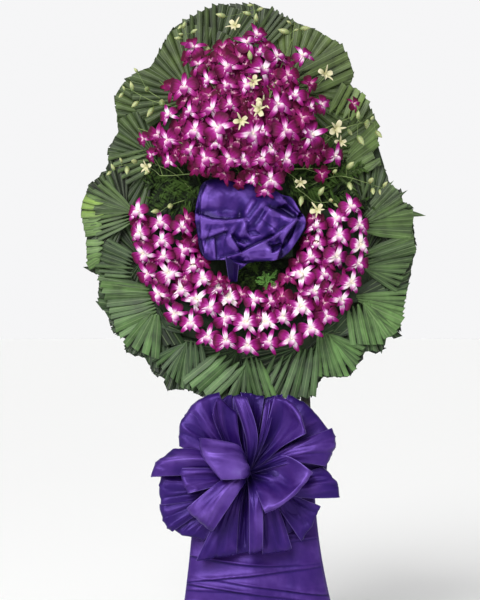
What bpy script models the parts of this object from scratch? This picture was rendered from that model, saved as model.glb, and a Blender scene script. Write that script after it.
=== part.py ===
"""Standing funeral wreath: orchids and satin on an oval of palm leaves, carried by a leaning three legged stand.

Metres, +Z up, the front faces -Y. Run with: blender --background --python part.py
"""

import math
import random
from functools import partial

import bmesh
import bpy
from mathutils import Matrix, Vector
from mathutils.bvhtree import BVHTree

# Driving dimensions of the whole, in metres and degrees
LEAN = 7.0  # the front legs and all they carry lean back this far
MIDDLE_HEIGHT = 1.215  # middle of the leaf oval above the floor, along the leaning front
GAP = 0.0003  # left between pieces that touch

# The stand
LEG_WIDTH, LEG_DEPTH = 0.025, 0.022
LEG_TOP = 1.60  # length of a front leg along the lean
STAND_MIDDLE = 0.020  # the stand and its skirt sit a little right of the oval
LEG_SPREAD, LEG_SPREAD_TOP = 0.310, 0.190  # between the front legs, at the feet and at the top
BAR_HEIGHT, BAR_DEPTH = 0.036, 0.018
TOP_BAR_AT, LOW_BAR_AT = 1.43, 0.49
REAR_FOOT_AT = 0.52  # how far the rear foot stands behind the front ones
BRACE_AT, BRACE_WIDTH = 0.486, 0.022  # height of the tie between the low crossbar and the rear leg

# What the leaves and flowers are fixed to, as depths in front of the legs
BOARD_HALF_WIDTH, BOARD_HALF_HEIGHT, BOARD_THICK = 0.376, 0.448, 0.012
BOARD_FRONT = GAP + BOARD_THICK
FOAM_BACK = BOARD_FRONT + GAP
ARM_FOAM_FRONT, BLOCK_FOAM_FRONT = 0.070, 0.085
BLOCK_LEFT, BLOCK_RIGHT = -0.110, 0.114
BLOCK_TOP, BLOCK_SPLIT, BLOCK_BOTTOM = 0.250, 0.010, -0.160

# Palm leaves: hub x and z from the middle, direction, reach at the first and the last leaflet, layer
LEAFLETS = 10
FAN_SPREAD = 150.0
PLEAT = 0.005
LEAF_THICK = 0.0009
FIRST_LAYER = FOAM_BACK + PLEAT / 2 + LEAF_THICK
LAYER_STEP = 1.5 * PLEAT + LEAF_THICK + GAP
LEAFLET_SPLIT = 0.52  # share of the reach at which leaflets part
LEAFLET_SLIT = 0.16  # share of its width that a leaflet loses at the tip
FANS = (
    (-0.313, -0.047, 171, 0.157, 0.149, 2),
    (-0.270, -0.167, 180, 0.167, 0.157, 0),
    (-0.233, -0.292, 208, 0.207, 0.149, 1),
    (-0.161, -0.376, 243, 0.157, 0.159, 0),
    (-0.032, -0.405, 250, 0.168, 0.140, 1),
    (0.135, -0.398, 262, 0.160, 0.132, 2),
    (0.183, -0.344, 300, 0.145, 0.151, 0),
    (0.276, -0.245, 320, 0.173, 0.153, 1),
    (0.292, -0.158, 2, 0.167, 0.163, 0),
    (0.305, -0.063, 27, 0.149, 0.159, 1),
    (0.185, 0.126, 28, 0.185, 0.206, 0),
    (0.105, 0.313, 34, 0.185, 0.188, 1),
    (0.016, 0.354, 74, 0.212, 0.192, 0),
    (-0.107, 0.354, 108, 0.186, 0.174, 1),
    (-0.153, 0.287, 133, 0.198, 0.148, 2),
    (-0.225, 0.230, 156, 0.158, 0.150, 0),
    (-0.255, 0.121, 178, 0.132, 0.162, 1),
)

# Crescent of single florets: three rows on half ellipses, from end to end of the U
ROWS = ((0.297, 0.378, 20), (0.235, 0.316, 16), (0.173, 0.254, 12))
CRESCENT_DROP = 0.014  # middle of the rows below the middle of the oval
BANDS = 6
ARM_HALF_WIDTH = 0.052
PAD_HALF_WIDTH, PAD_THICK = 0.074, 0.012
FLORET_WIDTH = 0.066

# Upper cluster: flowering sprays fanned from one place over a dome
FAN_POINT = (-0.013, 0.059)
ROOT_RADIUS, STEM_RADIUS = 0.066, 0.0034
DOME_MIDDLE = (-0.013, 0.230)
DOME_HALF_WIDTH, DOME_HALF_HEIGHT = 0.290, 0.268
DOME_EDGE, DOME_RISE = 0.095, 0.115
SPRAY_WIDTH = 0.075  # of one floret
# direction, length, where its florets start, how far it stands proud of the dome, buds at its tip
SPRAYS = (
    (180, 0.290, 0.125, 0.000, 3),
    (156, 0.315, 0.150, 0.018, 4),
    (132, 0.345, 0.150, 0.000, 3),
    (110, 0.385, 0.150, 0.018, 4),
    (90, 0.400, 0.150, 0.000, 4),
    (71, 0.390, 0.150, 0.018, 3),
    (51, 0.355, 0.150, 0.000, 3),
    (29, 0.330, 0.150, 0.018, 4),
    (5, 0.300, 0.125, 0.000, 3),
    (152, 0.125, 0.030, 0.030, 0),
    (95, 0.140, 0.030, 0.022, 0),
    (38, 0.125, 0.030, 0.030, 0),
    (-42, 0.105, 0.035, 0.062, 0),
)
OUTER_SPRAYS = 9  # each is a node; the short ones that fill the middle are one more
# Bud twigs: root x and z, tip x and z from the middle, and buds
BUD_TWIGS = (
    (BLOCK_LEFT - 0.0015, 0.030, -0.355, 0.092, 6),
    (BLOCK_RIGHT + 0.0015, 0.020, 0.395, 0.035, 7),
    (BLOCK_RIGHT + 0.0015, -0.015, 0.205, -0.020, 5),
)

# Satin
PUFF_MIDDLE = (0.000, -0.084)
PUFF_HALF = (0.140, 0.042, 0.106)
BOW_MIDDLE = (-0.010, 0.475)
BOW_HUB_DEPTH = 0.066
BOW_SEAT_DEPTH = 0.0304  # the tie's back lies here, on the gathered top of the skirt
SATIN_THICK = 0.0024
# Loops of the bow: direction, length, width at its fold, lift towards the viewer, half depth
LOOPS = (
    (90, 0.205, 0.104, 12, 0.024),
    (112, 0.222, 0.122, 22, 0.030),
    (142, 0.210, 0.128, 12, 0.024),
    (171, 0.238, 0.133, 20, 0.030),
    (206, 0.238, 0.133, 14, 0.026),
    (243, 0.215, 0.139, 24, 0.030),
    (276, 0.198, 0.070, 30, 0.026),
    (303, 0.215, 0.099, 22, 0.026),
    (330, 0.205, 0.104, 14, 0.024),
    (352, 0.230, 0.122, 24, 0.028),
    (22, 0.236, 0.133, 14, 0.026),
    (53, 0.232, 0.145, 22, 0.032),
    (128, 0.135, 0.110, 52, 0.036),
    (334, 0.160, 0.120, 50, 0.036),
    (226, 0.150, 0.100, 46, 0.030),
)
SKIRT_TOP, SKIRT_HEM = 0.500, 0.030
SKIRT_TOP_EDGES = (-0.150, 0.160)
SKIRT_HEM_EDGES = (-0.190, 0.245)
SKIRT_FLARE = 0.045  # how far the hem hangs in front of the feet


def make_finish(name, colour, roughness, metallic=0.0):
    """A plain Principled material."""
    finish = bpy.data.materials.new(name)
    finish.use_nodes = True
    shader = finish.node_tree.nodes["Principled BSDF"]
    shader.inputs["Base Color"].default_value = (*colour, 1.0)
    shader.inputs["Roughness"].default_value = roughness
    shader.inputs["Metallic"].default_value = metallic
    return finish


def put(name, shape, finish, parent, height=0.0):
    """An object from a shape, which is a pair of points and faces, with its faces turned outwards."""
    points, faces = shape
    mesh = bpy.data.meshes.new(name)
    mesh.from_pydata([tuple(point) for point in points], [], faces)
    work = bmesh.new()
    work.from_mesh(mesh)
    bmesh.ops.recalc_face_normals(work, faces=work.faces)
    work.to_mesh(mesh)
    work.free()
    mesh.materials.append(finish)
    piece = bpy.data.objects.new(name, mesh)
    piece.location.z = height
    piece.parent = parent
    bpy.context.scene.collection.objects.link(piece)
    return piece


def largest_body(mesh):
    """Drops all but the widest connected body of a mesh, such as scraps and sealed hollows."""
    work = bmesh.new()
    work.from_mesh(mesh)
    left = set(work.verts)
    bodies = []
    while left:
        body = {left.pop()}
        front = list(body)
        while front:
            vertex = front.pop()
            near = {edge.other_vert(vertex) for edge in vertex.link_edges} - body
            body |= near
            front.extend(near)
        left -= body
        bodies.append(body)
    keep = max(bodies, key=lambda body: max(v.co.length for v in body) - min(v.co.length for v in body))
    bmesh.ops.delete(work, geom=[v for v in work.verts if v not in keep], context="VERTS")
    work.to_mesh(mesh)
    work.free()


def combine(piece, shapes, operation, solver="EXACT"):
    """Joins shapes to a piece, or cuts them out of it, by one applied Boolean on a collection."""
    helpers = bpy.data.collections.new(piece.name + "_helpers")
    bpy.context.scene.collection.children.link(helpers)
    for shape in shapes:
        helper = put(piece.name + "_helper", shape, piece.data.materials[0], piece.parent, piece.location.z)
        bpy.context.scene.collection.objects.unlink(helper)
        helpers.objects.link(helper)
    boolean = piece.modifiers.new("Boolean", "BOOLEAN")
    boolean.operation = operation
    boolean.operand_type = "COLLECTION"
    boolean.collection = helpers
    boolean.solver = solver
    graph = bpy.context.evaluated_depsgraph_get()
    mesh = bpy.data.meshes.new_from_object(piece.evaluated_get(graph))
    piece.modifiers.clear()
    for helper in list(helpers.objects):
        bpy.data.objects.remove(helper)
    bpy.data.collections.remove(helpers)
    piece.data = mesh
    largest_body(mesh)


def fuse(name, shapes, finish, parent, height=0.0):
    """One body from shapes that grow into each other."""
    piece = put(name, shapes[0], finish, parent, height)
    if len(shapes) > 1:
        combine(piece, shapes[1:], "UNION")
    return piece


def moved(shape, matrix):
    points, faces = shape
    return [matrix @ point for point in points], faces


def loft(rings):
    """A closed solid through rings of equal count, with flat ends."""
    count = len(rings[0])
    points = [point for ring in rings for point in ring]
    faces = [tuple(range(count)), tuple(range(len(points) - count, len(points)))]
    for ring in range(len(rings) - 1):
        for i in range(count):
            a, b = ring * count + i, ring * count + (i + 1) % count
            faces.append((a, b, b + count, a + count))
    return points, faces


def tube(points, radii, sides):
    """A closed tube along points, with flat ends."""
    last = len(points) - 1
    tangents = [(points[min(i + 1, last)] - points[max(i - 1, 0)]).normalized() for i in range(last + 1)]
    normal = tangents[0].orthogonal().normalized()
    rings = []
    for i, (point, radius) in enumerate(zip(points, radii)):
        if i:
            normal.rotate(tangents[i - 1].rotation_difference(tangents[i]))
        other = tangents[i].cross(normal)
        turns = [math.tau * k / sides for k in range(sides)]
        rings.append([point + radius * (math.cos(t) * normal + math.sin(t) * other) for t in turns])
    return loft(rings)


def blade(points, triangles, offset):
    """A thin solid: a sheet of triangles, the same sheet moved by the offset, and walls round the edge."""
    count = len(points)
    edges = [(t[i], t[(i + 1) % 3]) for t in triangles for i in range(3)]
    rim = [(a, b) for a, b in edges if (b, a) not in edges]
    faces = [tuple(t) for t in triangles]
    faces += [tuple(i + count for i in reversed(t)) for t in triangles]
    for a, b in rim:
        faces += [(b, a, a + count), (b, a + count, b + count)]
    return list(points) + [point + offset for point in points], faces


def at(x, depth, z):
    """A point of the leaning front, its depth counted towards the viewer."""
    return Vector((x, -depth, z))


def polar(middle, radius, degrees, depth):
    turn = math.radians(degrees)
    return at(middle[0] + radius * math.cos(turn), depth, middle[1] + radius * math.sin(turn))


def facing(place, outward, roll):
    """The frame of a bloom: its face looks outward, its top sepal is up and then rolled, in degrees."""
    back = -outward.normalized()
    up = Vector((0, 0, 1)) - back * back.z
    up.rotate(Matrix.Rotation(math.radians(roll), 3, back))
    up.normalize()
    right = back.cross(up)
    turn = Matrix((right, back, up)).transposed().to_4x4()
    return Matrix.Translation(place) @ turn


def build_stand(root, finish):
    """Two front legs that spread towards the floor, two crossbars, a rear leg and its brace."""
    slope = math.tan(math.radians(LEAN))
    top = LEG_TOP * math.cos(math.radians(LEAN))

    def upright(name, low, high, width, depth):
        rings = []
        for middle, front, z in (low, high):
            left, right = middle - width / 2, middle + width / 2
            back = front + depth
            rings.append([Vector(p) for p in ((left, front, z), (right, front, z), (right, back, z), (left, back, z))])
        put(name, loft(rings), finish, root)

    for name, side in (("leg_left", -1), ("leg_right", 1)):
        low = (STAND_MIDDLE + side * LEG_SPREAD / 2, 0.0, 0.0)
        high = (STAND_MIDDLE + side * LEG_SPREAD_TOP / 2, top * slope, top)
        upright(name, low, high, LEG_WIDTH, LEG_DEPTH)

    leg_back = LEG_DEPTH * math.cos(math.radians(LEAN))
    bar_back = leg_back + GAP + BAR_DEPTH

    def leaning(x, depth, along):
        turn = Matrix.Rotation(-math.radians(LEAN), 3, "X")
        return turn @ Vector((x, -depth, along))

    def crossbar(name, half, front, along):
        ends = []
        for x in (STAND_MIDDLE - half, STAND_MIDDLE + half):
            corners = ((front, -1), (front, 1), (front - BAR_DEPTH, 1), (front - BAR_DEPTH, -1))
            ends.append([leaning(x, depth, along + side * BAR_HEIGHT / 2) for depth, side in corners])
        put(name, loft(ends), finish, root)

    crossbar("crossbar_top", 0.150, -leg_back - GAP, TOP_BAR_AT)
    crossbar("crossbar_low", 0.175, GAP + BAR_DEPTH, LOW_BAR_AT)

    hang = leaning(0, -bar_back - GAP, TOP_BAR_AT + BAR_HEIGHT / 2)
    foot, head = (STAND_MIDDLE, REAR_FOOT_AT, 0), (STAND_MIDDLE, hang.y, hang.z)
    upright("leg_rear", foot, head, LEG_WIDTH, LEG_DEPTH)

    rear_slope = (hang.y - REAR_FOOT_AT) / hang.z
    rings = []
    half = BRACE_WIDTH / 2
    for y_at in (lambda z: z * slope + GAP, lambda z: REAR_FOOT_AT + z * rear_slope - GAP):
        corners = ((-half, -half), (half, -half), (half, half), (-half, half))
        rings.append([Vector((STAND_MIDDLE + x, y_at(BRACE_AT + dz), BRACE_AT + dz)) for x, dz in corners])
    put("brace", loft(rings), finish, root)


def build_board(front, finish):
    """The oval board behind the leaves."""
    turns = [math.tau * k / 28 for k in range(28)]
    rings = []
    for depth in (GAP, BOARD_FRONT):
        rings.append([at(BOARD_HALF_WIDTH * math.cos(t), depth, BOARD_HALF_HEIGHT * math.sin(t)) for t in turns])
    put("backing_board", loft(rings), finish, front, MIDDLE_HEIGHT)


def crescent_arc(inner, outer, start, end, profile, steps):
    """A length of the U: a profile of (share across, depth) carried along half ellipses."""
    rings = []
    for k in range(steps + 1):
        turn = math.radians(start + (end - start) * k / steps)
        ring = []
        for across, depth in profile:
            wide = inner[0] + (outer[0] - inner[0]) * across
            tall = inner[1] + (outer[1] - inner[1]) * across
            ring.append(at(wide * math.cos(turn), depth, tall * math.sin(turn) - CRESCENT_DROP))
        rings.append(ring)
    return loft(rings)


def build_foam(front, finish, roots):
    """Four bricks along the U, and two stacked blocks in the middle, drilled where stems go in."""
    wide, tall, _ = ROWS[1]
    inner = (wide - ARM_HALF_WIDTH, tall - ARM_HALF_WIDTH)
    outer = (wide + ARM_HALF_WIDTH, tall + ARM_HALF_WIDTH)
    profile = ((0, FOAM_BACK), (1, FOAM_BACK), (1, ARM_FOAM_FRONT), (0, ARM_FOAM_FRONT))
    joint = 0.1  # degrees left between two bricks
    for k in range(4):
        start, end = 183 + k * 43.5 + joint, 183 + (k + 1) * 43.5 - joint
        put(f"foam_arm_{k + 1}", crescent_arc(inner, outer, start, end, profile, 4), finish, front, MIDDLE_HEIGHT)
    for name, low, high in (
        ("foam_upper", BLOCK_SPLIT, BLOCK_TOP),
        ("foam_lower", BLOCK_BOTTOM, BLOCK_SPLIT - GAP),
    ):
        corners = ((BLOCK_LEFT, low), (BLOCK_RIGHT, low), (BLOCK_RIGHT, high), (BLOCK_LEFT, high))
        rings = [[at(x, depth, z) for x, z in corners] for depth in (FOAM_BACK, BLOCK_FOAM_FRONT)]
        block = put(name, loft(rings), finish, front, MIDDLE_HEIGHT)
        holes = [hole for middle, hole in roots if low < middle.z < high]
        if holes:
            combine(block, holes, "DIFFERENCE")


def fan_leaf(hub_x, hub_z, direction, first_reach, last_reach, layer, draw):
    """A pleated palm leaf trimmed to a lobe: leaflets with a ridge each, parted by slits."""
    depth = FIRST_LAYER + layer * LAYER_STEP
    hub = (hub_x, hub_z)
    start, step = direction - FAN_SPREAD / 2, FAN_SPREAD / LEAFLETS
    reaches = []
    for k in range(LEAFLETS):
        along = (k + 0.5) / LEAFLETS
        reach = first_reach + (last_reach - first_reach) * along
        reaches.append(reach * (1 - 0.12 * abs(2 * along - 1) ** 3) * draw.uniform(0.96, 1.02))
    points = [polar(hub, 0, 0, depth)]
    parting = []
    for k in range(LEAFLETS + 1):
        near = min(reaches[max(k - 1, 0)], reaches[min(k, LEAFLETS - 1)])
        parting.append(len(points))
        points.append(polar(hub, near * LEAFLET_SPLIT, start + k * step, depth - PLEAT / 2))
    triangles = []
    for k, reach in enumerate(reaches):
        low, middle, high = start + k * step, start + (k + 0.5) * step, start + (k + 1) * step
        slit = LEAFLET_SLIT * step / 2
        ridge = len(points)
        points.append(polar(hub, reach * LEAFLET_SPLIT, middle, depth + PLEAT))
        points.append(polar(hub, reach * 0.97, low + slit, depth - PLEAT / 2))
        points.append(polar(hub, reach, middle, depth + PLEAT))
        points.append(polar(hub, reach * 0.97, high - slit, depth - PLEAT / 2))
        left, tip, right = ridge + 1, ridge + 2, ridge + 3
        a, b = parting[k], parting[k + 1]
        triangles += [(0, a, ridge), (0, ridge, b), (a, left, tip), (a, tip, ridge)]
        triangles += [(ridge, tip, right), (ridge, right, b)]
    return blade(points, triangles, Vector((0, LEAF_THICK, 0)))


def build_fans(front, finish, keep_clear):
    draw = random.Random(3)
    for number, fan in enumerate(FANS, 1):
        leaf = fan_leaf(*fan, draw)
        keep_clear(f"palm_fan_{number:02d}", [leaf])
        put(f"palm_fan_{number:02d}", leaf, finish, front, MIDDLE_HEIGHT)


def floret_star(width):
    """One dendrobium bloom facing -Y: three narrow sepals, two round petals and a lip, thick at its middle."""
    half = width / 2
    # direction, length, half angle of a round petal's shoulders, how far the tip bends back
    petals = (
        (16, 0.94, 32, 0.02),
        (90, 1.00, 0, 0.10),
        (164, 0.94, 32, 0.02),
        (222, 0.98, 0, 0.12),
        (270, 0.62, 0, -0.22),
        (318, 0.98, 0, 0.12),
    )
    points = [Vector((0, -0.13 * half, 0)), Vector((0, 0.13 * half, 0))]
    for k, (direction, length, spread, bend) in enumerate(petals):
        following = petals[(k + 1) % len(petals)][0] + (360 if k == len(petals) - 1 else 0)
        outline = [(direction, length, bend)]
        if spread:
            outline = [(direction - spread, 0.82 * length, 0.0), *outline, (direction + spread, 0.82 * length, 0.0)]
        outline.append(((direction + following) / 2, 0.38, 0.0))
        for turn, reach, y in outline:
            angle = math.radians(turn)
            points.append(half * Vector((reach * math.cos(angle), y, reach * math.sin(angle))))
    rim = range(2, len(points))
    faces = []
    for i in rim:
        j = i + 1 if i + 1 < len(points) else 2
        faces += [(0, i, j), (1, j, i)]
    return points, faces


def bud(foot, direction, length):
    """A closed bud on its stalk: a four sided spindle, thickest past its middle."""
    direction = direction.normalized()
    side = direction.orthogonal().normalized()
    other = direction.cross(side)
    belly = foot + direction * length * 0.68
    wide = length * 0.135
    ring = [belly + wide * side, belly + wide * other, belly - wide * side, belly - wide * other]
    faces = [(0, 2 + k, 2 + (k + 1) % 4) for k in range(4)]
    faces += [(1, 2 + (k + 1) % 4, 2 + k) for k in range(4)]
    return [foot - direction * 0.0007, foot + direction * length] + ring, faces


def pedicel(foot, head, radius=0.0016):
    return tube([foot, head], (radius * 1.15, radius), 3)


class Clearances:
    """Remembers what stands where, so that a bloom finds a place clear of all other nodes."""

    def __init__(self):
        self.trees = []

    def add(self, node, shapes):
        for points, faces in shapes:
            self.trees.append((node, BVHTree.FromPolygons(points, faces, epsilon=0.0004)))

    def free(self, node, shapes):
        for points, faces in shapes:
            tree = BVHTree.FromPolygons(points, faces, epsilon=0.0004)
            if any(other.overlap(tree) for owner, other in self.trees if owner != node):
                return False
        return True


def place_bloom(node, clear, draw, site, outward, width, foot_at):
    """A bloom and its pedicel near a site, at the first seeded try that clears the other nodes."""
    outward = outward.normalized()
    tries = 200
    for attempt in range(tries):
        ease = attempt / tries
        roll = draw.uniform(-40, 40)
        tilt = Vector((draw.uniform(-1, 1), 0, draw.uniform(-1, 1))) * (0.10 + 0.25 * ease)
        look = (outward + tilt).normalized()
        place = site + outward * 0.034 * ease + 0.030 * ease * tilt
        star = moved(floret_star(width * (1 - 0.18 * ease)), facing(place, look, roll))
        stalk = pedicel(foot_at(ease), place)
        if clear.free(node, [star, stalk]):
            clear.add(node, [star, stalk])
            return [star, stalk]
    raise ValueError(f"{node}: no clear place at {site}")


def crescent_sites():
    """Where the single florets of the U sit: (turn in degrees, place, outward direction)."""
    sites = []
    for row, (wide, tall, count) in enumerate(ROWS):
        tilt = (0.45, 0.0, -0.40)[row]
        depth = (0.098, 0.112, 0.100)[row]
        for k in range(count):
            turn = 184 + 172 * (k + 0.5) / count
            angle = math.radians(turn)
            away = Vector((math.cos(angle), 0, math.sin(angle)))
            place = at(wide * math.cos(angle), depth, tall * math.sin(angle) - CRESCENT_DROP)
            sites.append((turn, place, Vector((0, -1, 0)) + tilt * away))
    return sites


def build_crescent(front, finish, clear):
    """Six lengths of the U, each a thin pad with the florets that are pinned to it."""
    draw = random.Random(11)
    wide, tall, _ = ROWS[1]
    inner = (wide - PAD_HALF_WIDTH, tall - PAD_HALF_WIDTH)
    outer = (wide + PAD_HALF_WIDTH, tall + PAD_HALF_WIDTH)
    back = ARM_FOAM_FRONT + GAP
    face = back + PAD_THICK
    profile = ((0, back), (1, back), (0.96, face - 0.006), (0.5, face), (0.04, face - 0.006))
    span = 174 / BANDS
    bands = []
    for k in range(BANDS):
        start = 183 + k * span
        pad = crescent_arc(inner, outer, start + 0.15, start + span - 0.15, profile, 3)
        clear.add(f"floret_band_{k + 1}", [pad])
        bands.append([pad])
    for turn, place, outward in crescent_sites():
        k = int((turn - 183) / span)
        node = f"floret_band_{k + 1}"
        foot = Vector((place.x, -(back + 0.006), place.z))
        bands[k] += place_bloom(node, clear, draw, place, outward, FLORET_WIDTH, lambda ease: foot)
    for k, shapes in enumerate(bands):
        fuse(f"floret_band_{k + 1}", shapes, finish, front, MIDDLE_HEIGHT)


def dome_depth(x, z):
    across = (x - DOME_MIDDLE[0]) / DOME_HALF_WIDTH
    up = (z - DOME_MIDDLE[1]) / DOME_HALF_HEIGHT
    return DOME_EDGE + DOME_RISE * max(0.0, 1 - across * across - up * up)


def dome_outward(x, z):
    """Direction away from the dome's surface."""
    step = 0.01
    slope_x = (dome_depth(x + step, z) - dome_depth(x - step, z)) / (2 * step)
    slope_z = (dome_depth(x, z + step) - dome_depth(x, z - step)) / (2 * step)
    return Vector((-slope_x, -1, -slope_z)).normalized()


def spray_path(direction, length, proud):
    """The stem of a spray: out of the foam, up to the dome and along beneath its surface."""
    root_radius = min(ROOT_RADIUS, length * 0.15)
    straight = (-0.030, 0.002, 0.012)
    path = [polar(FAN_POINT, root_radius, direction, BLOCK_FOAM_FRONT + depth) for depth in straight]
    steps = 6
    for k in range(1, steps + 1):
        radius = root_radius + (length - root_radius) * k / steps
        spot = polar(FAN_POINT, radius, direction, 0)
        rise = min(1.0, 0.55 + 0.45 * k / 2)
        under = dome_depth(spot.x, spot.z) + proud - 0.026
        depth = BLOCK_FOAM_FRONT + (under - BLOCK_FOAM_FRONT) * rise
        path.append(polar(FAN_POINT, radius, direction, max(depth, 0.084)))
    return path


def along_path(path, share, ease=0.0):
    """A point of a stem, a little further along it where a bloom needs room."""
    spot = min(share + 0.12 * ease, 1.0) * (len(path) - 1)
    k = min(int(spot), len(path) - 2)
    return path[k].lerp(path[k + 1], spot - k)


def spray_sites(direction, length, start, proud):
    """Where a spray's florets sit: alternately left and right of its stem."""
    sites = []
    radius, side = start, 1
    while radius < length - 0.020:
        turn = math.radians(direction)
        middle = polar(FAN_POINT, radius, direction, 0)
        across = Vector((-math.sin(turn), 0, math.cos(turn))) * side * 0.027
        spot = middle + across
        place = at(spot.x, dome_depth(spot.x, spot.z) + proud, spot.z)
        outward = dome_outward(spot.x, spot.z) + 0.25 * across.normalized()
        sites.append((radius, place, outward))
        radius, side = radius + 0.031, -side
    return sites


def build_sprays(front, finish, clear, paths):
    """Flowering sprays: a stem, florets to both sides and buds at its tip."""
    draw = random.Random(5)
    names = [f"orchid_spray_{min(k, OUTER_SPRAYS) + 1:02d}" for k in range(len(SPRAYS))]
    shapes = {name: [] for name in names}
    for name, path in zip(names, paths):
        radii = [STEM_RADIUS] * 2 + [STEM_RADIUS - 0.0002 * k for k in range(len(path) - 2)]
        stem = tube(path, radii, 4)
        shapes[name].append(stem)
        clear.add(name, [stem])
    shortest_first = sorted(zip(names, paths, SPRAYS), key=lambda spray: spray[2][1])
    for name, path, (direction, length, start, proud, buds) in shortest_first:
        for radius, place, outward in spray_sites(direction, length, start, proud):
            share = max(0.2, (radius - 0.030) / length)
            foot_at = partial(along_path, path, share)
            shapes[name] += place_bloom(name, clear, draw, place, outward, SPRAY_WIDTH, foot_at)
        shares = [0.98 - 0.035 * k for k in range(buds)]
        shapes[name] += grow_buds(name, clear, draw, path, shares)
    for name in shapes:
        fuse(name, shapes[name], finish, front, MIDDLE_HEIGHT)


def grow_buds(name, clear, draw, path, shares):
    """Buds at shares of a stem's length, alternating round it, each at the first try that is clear."""
    shapes = []
    heading = (path[-1] - path[-3]).normalized()
    across = heading.cross(Vector((0, 1, 0))).normalized()
    for k, share in enumerate(shares):
        foot = along_path(path, share)
        side = across * (0.8 if k % 2 else -0.8) * (k > 0)
        for attempt in range(60):
            aim = (heading + side + Vector((0, -0.4 - 0.03 * attempt, 0))).normalized()
            shape = bud(foot, aim, draw.uniform(0.040, 0.048))
            if clear.free(name, [shape]):
                clear.add(name, [shape])
                shapes.append(shape)
                break
    return shapes


def build_twigs(front, finish, clear):
    """Slender twigs of closed buds that reach past the flowers."""
    draw = random.Random(8)
    for number, (root_x, root_z, tip_x, tip_z, buds) in enumerate(BUD_TWIGS, 1):
        name = f"bud_twig_{number}"
        for lift in range(30):
            root = at(root_x, 0.060 + 0.0005 * lift, root_z)
            tip = at(tip_x, 0.075 + 0.0025 * lift, tip_z)
            path = []
            for k in range(7):
                arch = math.sin(math.pi * k / 6)
                path.append(root.lerp(tip, k / 6) + Vector((0, -0.018 * arch, 0.020 * arch)))
            stem = tube(path, [0.0022 - 0.0010 * k / 6 for k in range(7)], 3)
            if clear.free(name, [stem]):
                break
        clear.add(name, [stem])
        shares = [0.98 - 0.60 * k / buds for k in range(buds)]
        shapes = [stem] + grow_buds(name, clear, draw, path, shares)
        fuse(name, shapes, finish, front, MIDDLE_HEIGHT)


def fern_frond(root, direction, length, lift, curl):
    """A frond as one thin blade cut to its rib: a bare foot, then slender leaflets both sides."""
    pairs = 6
    turn = math.radians(direction)
    along = Vector((math.cos(turn), 0, math.sin(turn)))
    across = Vector((-math.sin(turn), 0, math.cos(turn)))
    shares = [0.0] + [0.25 + 0.75 * k / pairs for k in range(pairs + 1)]
    points, triangles = [], []
    for share in shares:
        rib = root + along * length * share + across * curl * share * share + Vector((0, -lift * share, 0))
        points += [rib + across * 0.0016, rib - across * 0.0016]
    for k, share in enumerate(shares[:-1]):
        a, b, c, d = 2 * k, 2 * k + 1, 2 * k + 2, 2 * k + 3
        triangles += [(a, b, c), (b, d, c)]
        if not k:
            continue
        middle = (points[a] + points[d]) / 2
        reach = 0.042 * (1.1 - 0.8 * share)
        for side, near, far in ((1, a, c), (-1, d, b)):
            points.append(middle + across * side * reach + along * reach * 0.6)
            triangles.append((near, far, len(points) - 1))
    return blade(points, triangles, Vector((0, 0.0010, 0)))


def build_ferns(front, finish, clear):
    """Fine dark greenery round the satin: a short stalk from the foam with its fronds."""
    clumps = (
        ("fern_left", BLOCK_LEFT - GAP, 0.062, (194, 173, 150), 0.130),
        ("fern_right", BLOCK_RIGHT + GAP, 0.050, (-12, 10, 32), 0.120),
        ("fern_low", 0.030, BLOCK_BOTTOM - GAP, (215, 262, 309), 0.064),
    )
    for name, x, z, directions, length in clumps:
        shapes = []
        middle = sum(directions) / len(directions)
        turn = math.radians(round(middle / 90) * 90)
        square = Vector((math.cos(turn), 0, math.sin(turn)))
        root = at(x, 0.052, z)
        shapes.append(tube([root, root + square * 0.014], (0.006, 0.006), 4))
        for k, direction in enumerate(directions):
            start = root + square * 0.008 + Vector((0, -0.0015 * k, 0))
            shapes.append(fern_frond(start, direction, length, 0.006 * k, 0.012 * (-1) ** k))
        clear.add(name, shapes)
        fuse(name, shapes, finish, front, MIDDLE_HEIGHT)


def build_puff(front, finish, clear):
    """The crumpled satin puff on the lower block: a soft lump pleated from its middle."""
    work = bmesh.new()
    bmesh.ops.create_icosphere(work, subdivisions=3, radius=1.0)
    seat = BLOCK_FOAM_FRONT + GAP
    points = []
    for vertex in work.verts:
        x, y, z = vertex.co
        turn = math.atan2(z, x)
        rim = math.hypot(x, z)
        fold = 1 + 0.10 * rim * math.sin(5 * turn + 0.8) + 0.05 * rim * math.sin(9 * turn)
        depth = seat + PUFF_HALF[1] * (1 - y) * (0.80 + 0.20 * math.sin(4 * x + 3 * z))
        depth = max(depth, seat)
        points.append(at(PUFF_HALF[0] * x * fold, depth, PUFF_HALF[2] * z * fold))
    faces = [tuple(v.index for v in face.verts) for face in work.faces]
    work.free()
    middle = Vector((PUFF_MIDDLE[0], 0, PUFF_MIDDLE[1]))
    shape = ([point + middle for point in points], faces)
    clear.add("satin_puff", [shape])
    put("satin_puff", shape, finish, front, MIDDLE_HEIGHT)


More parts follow.
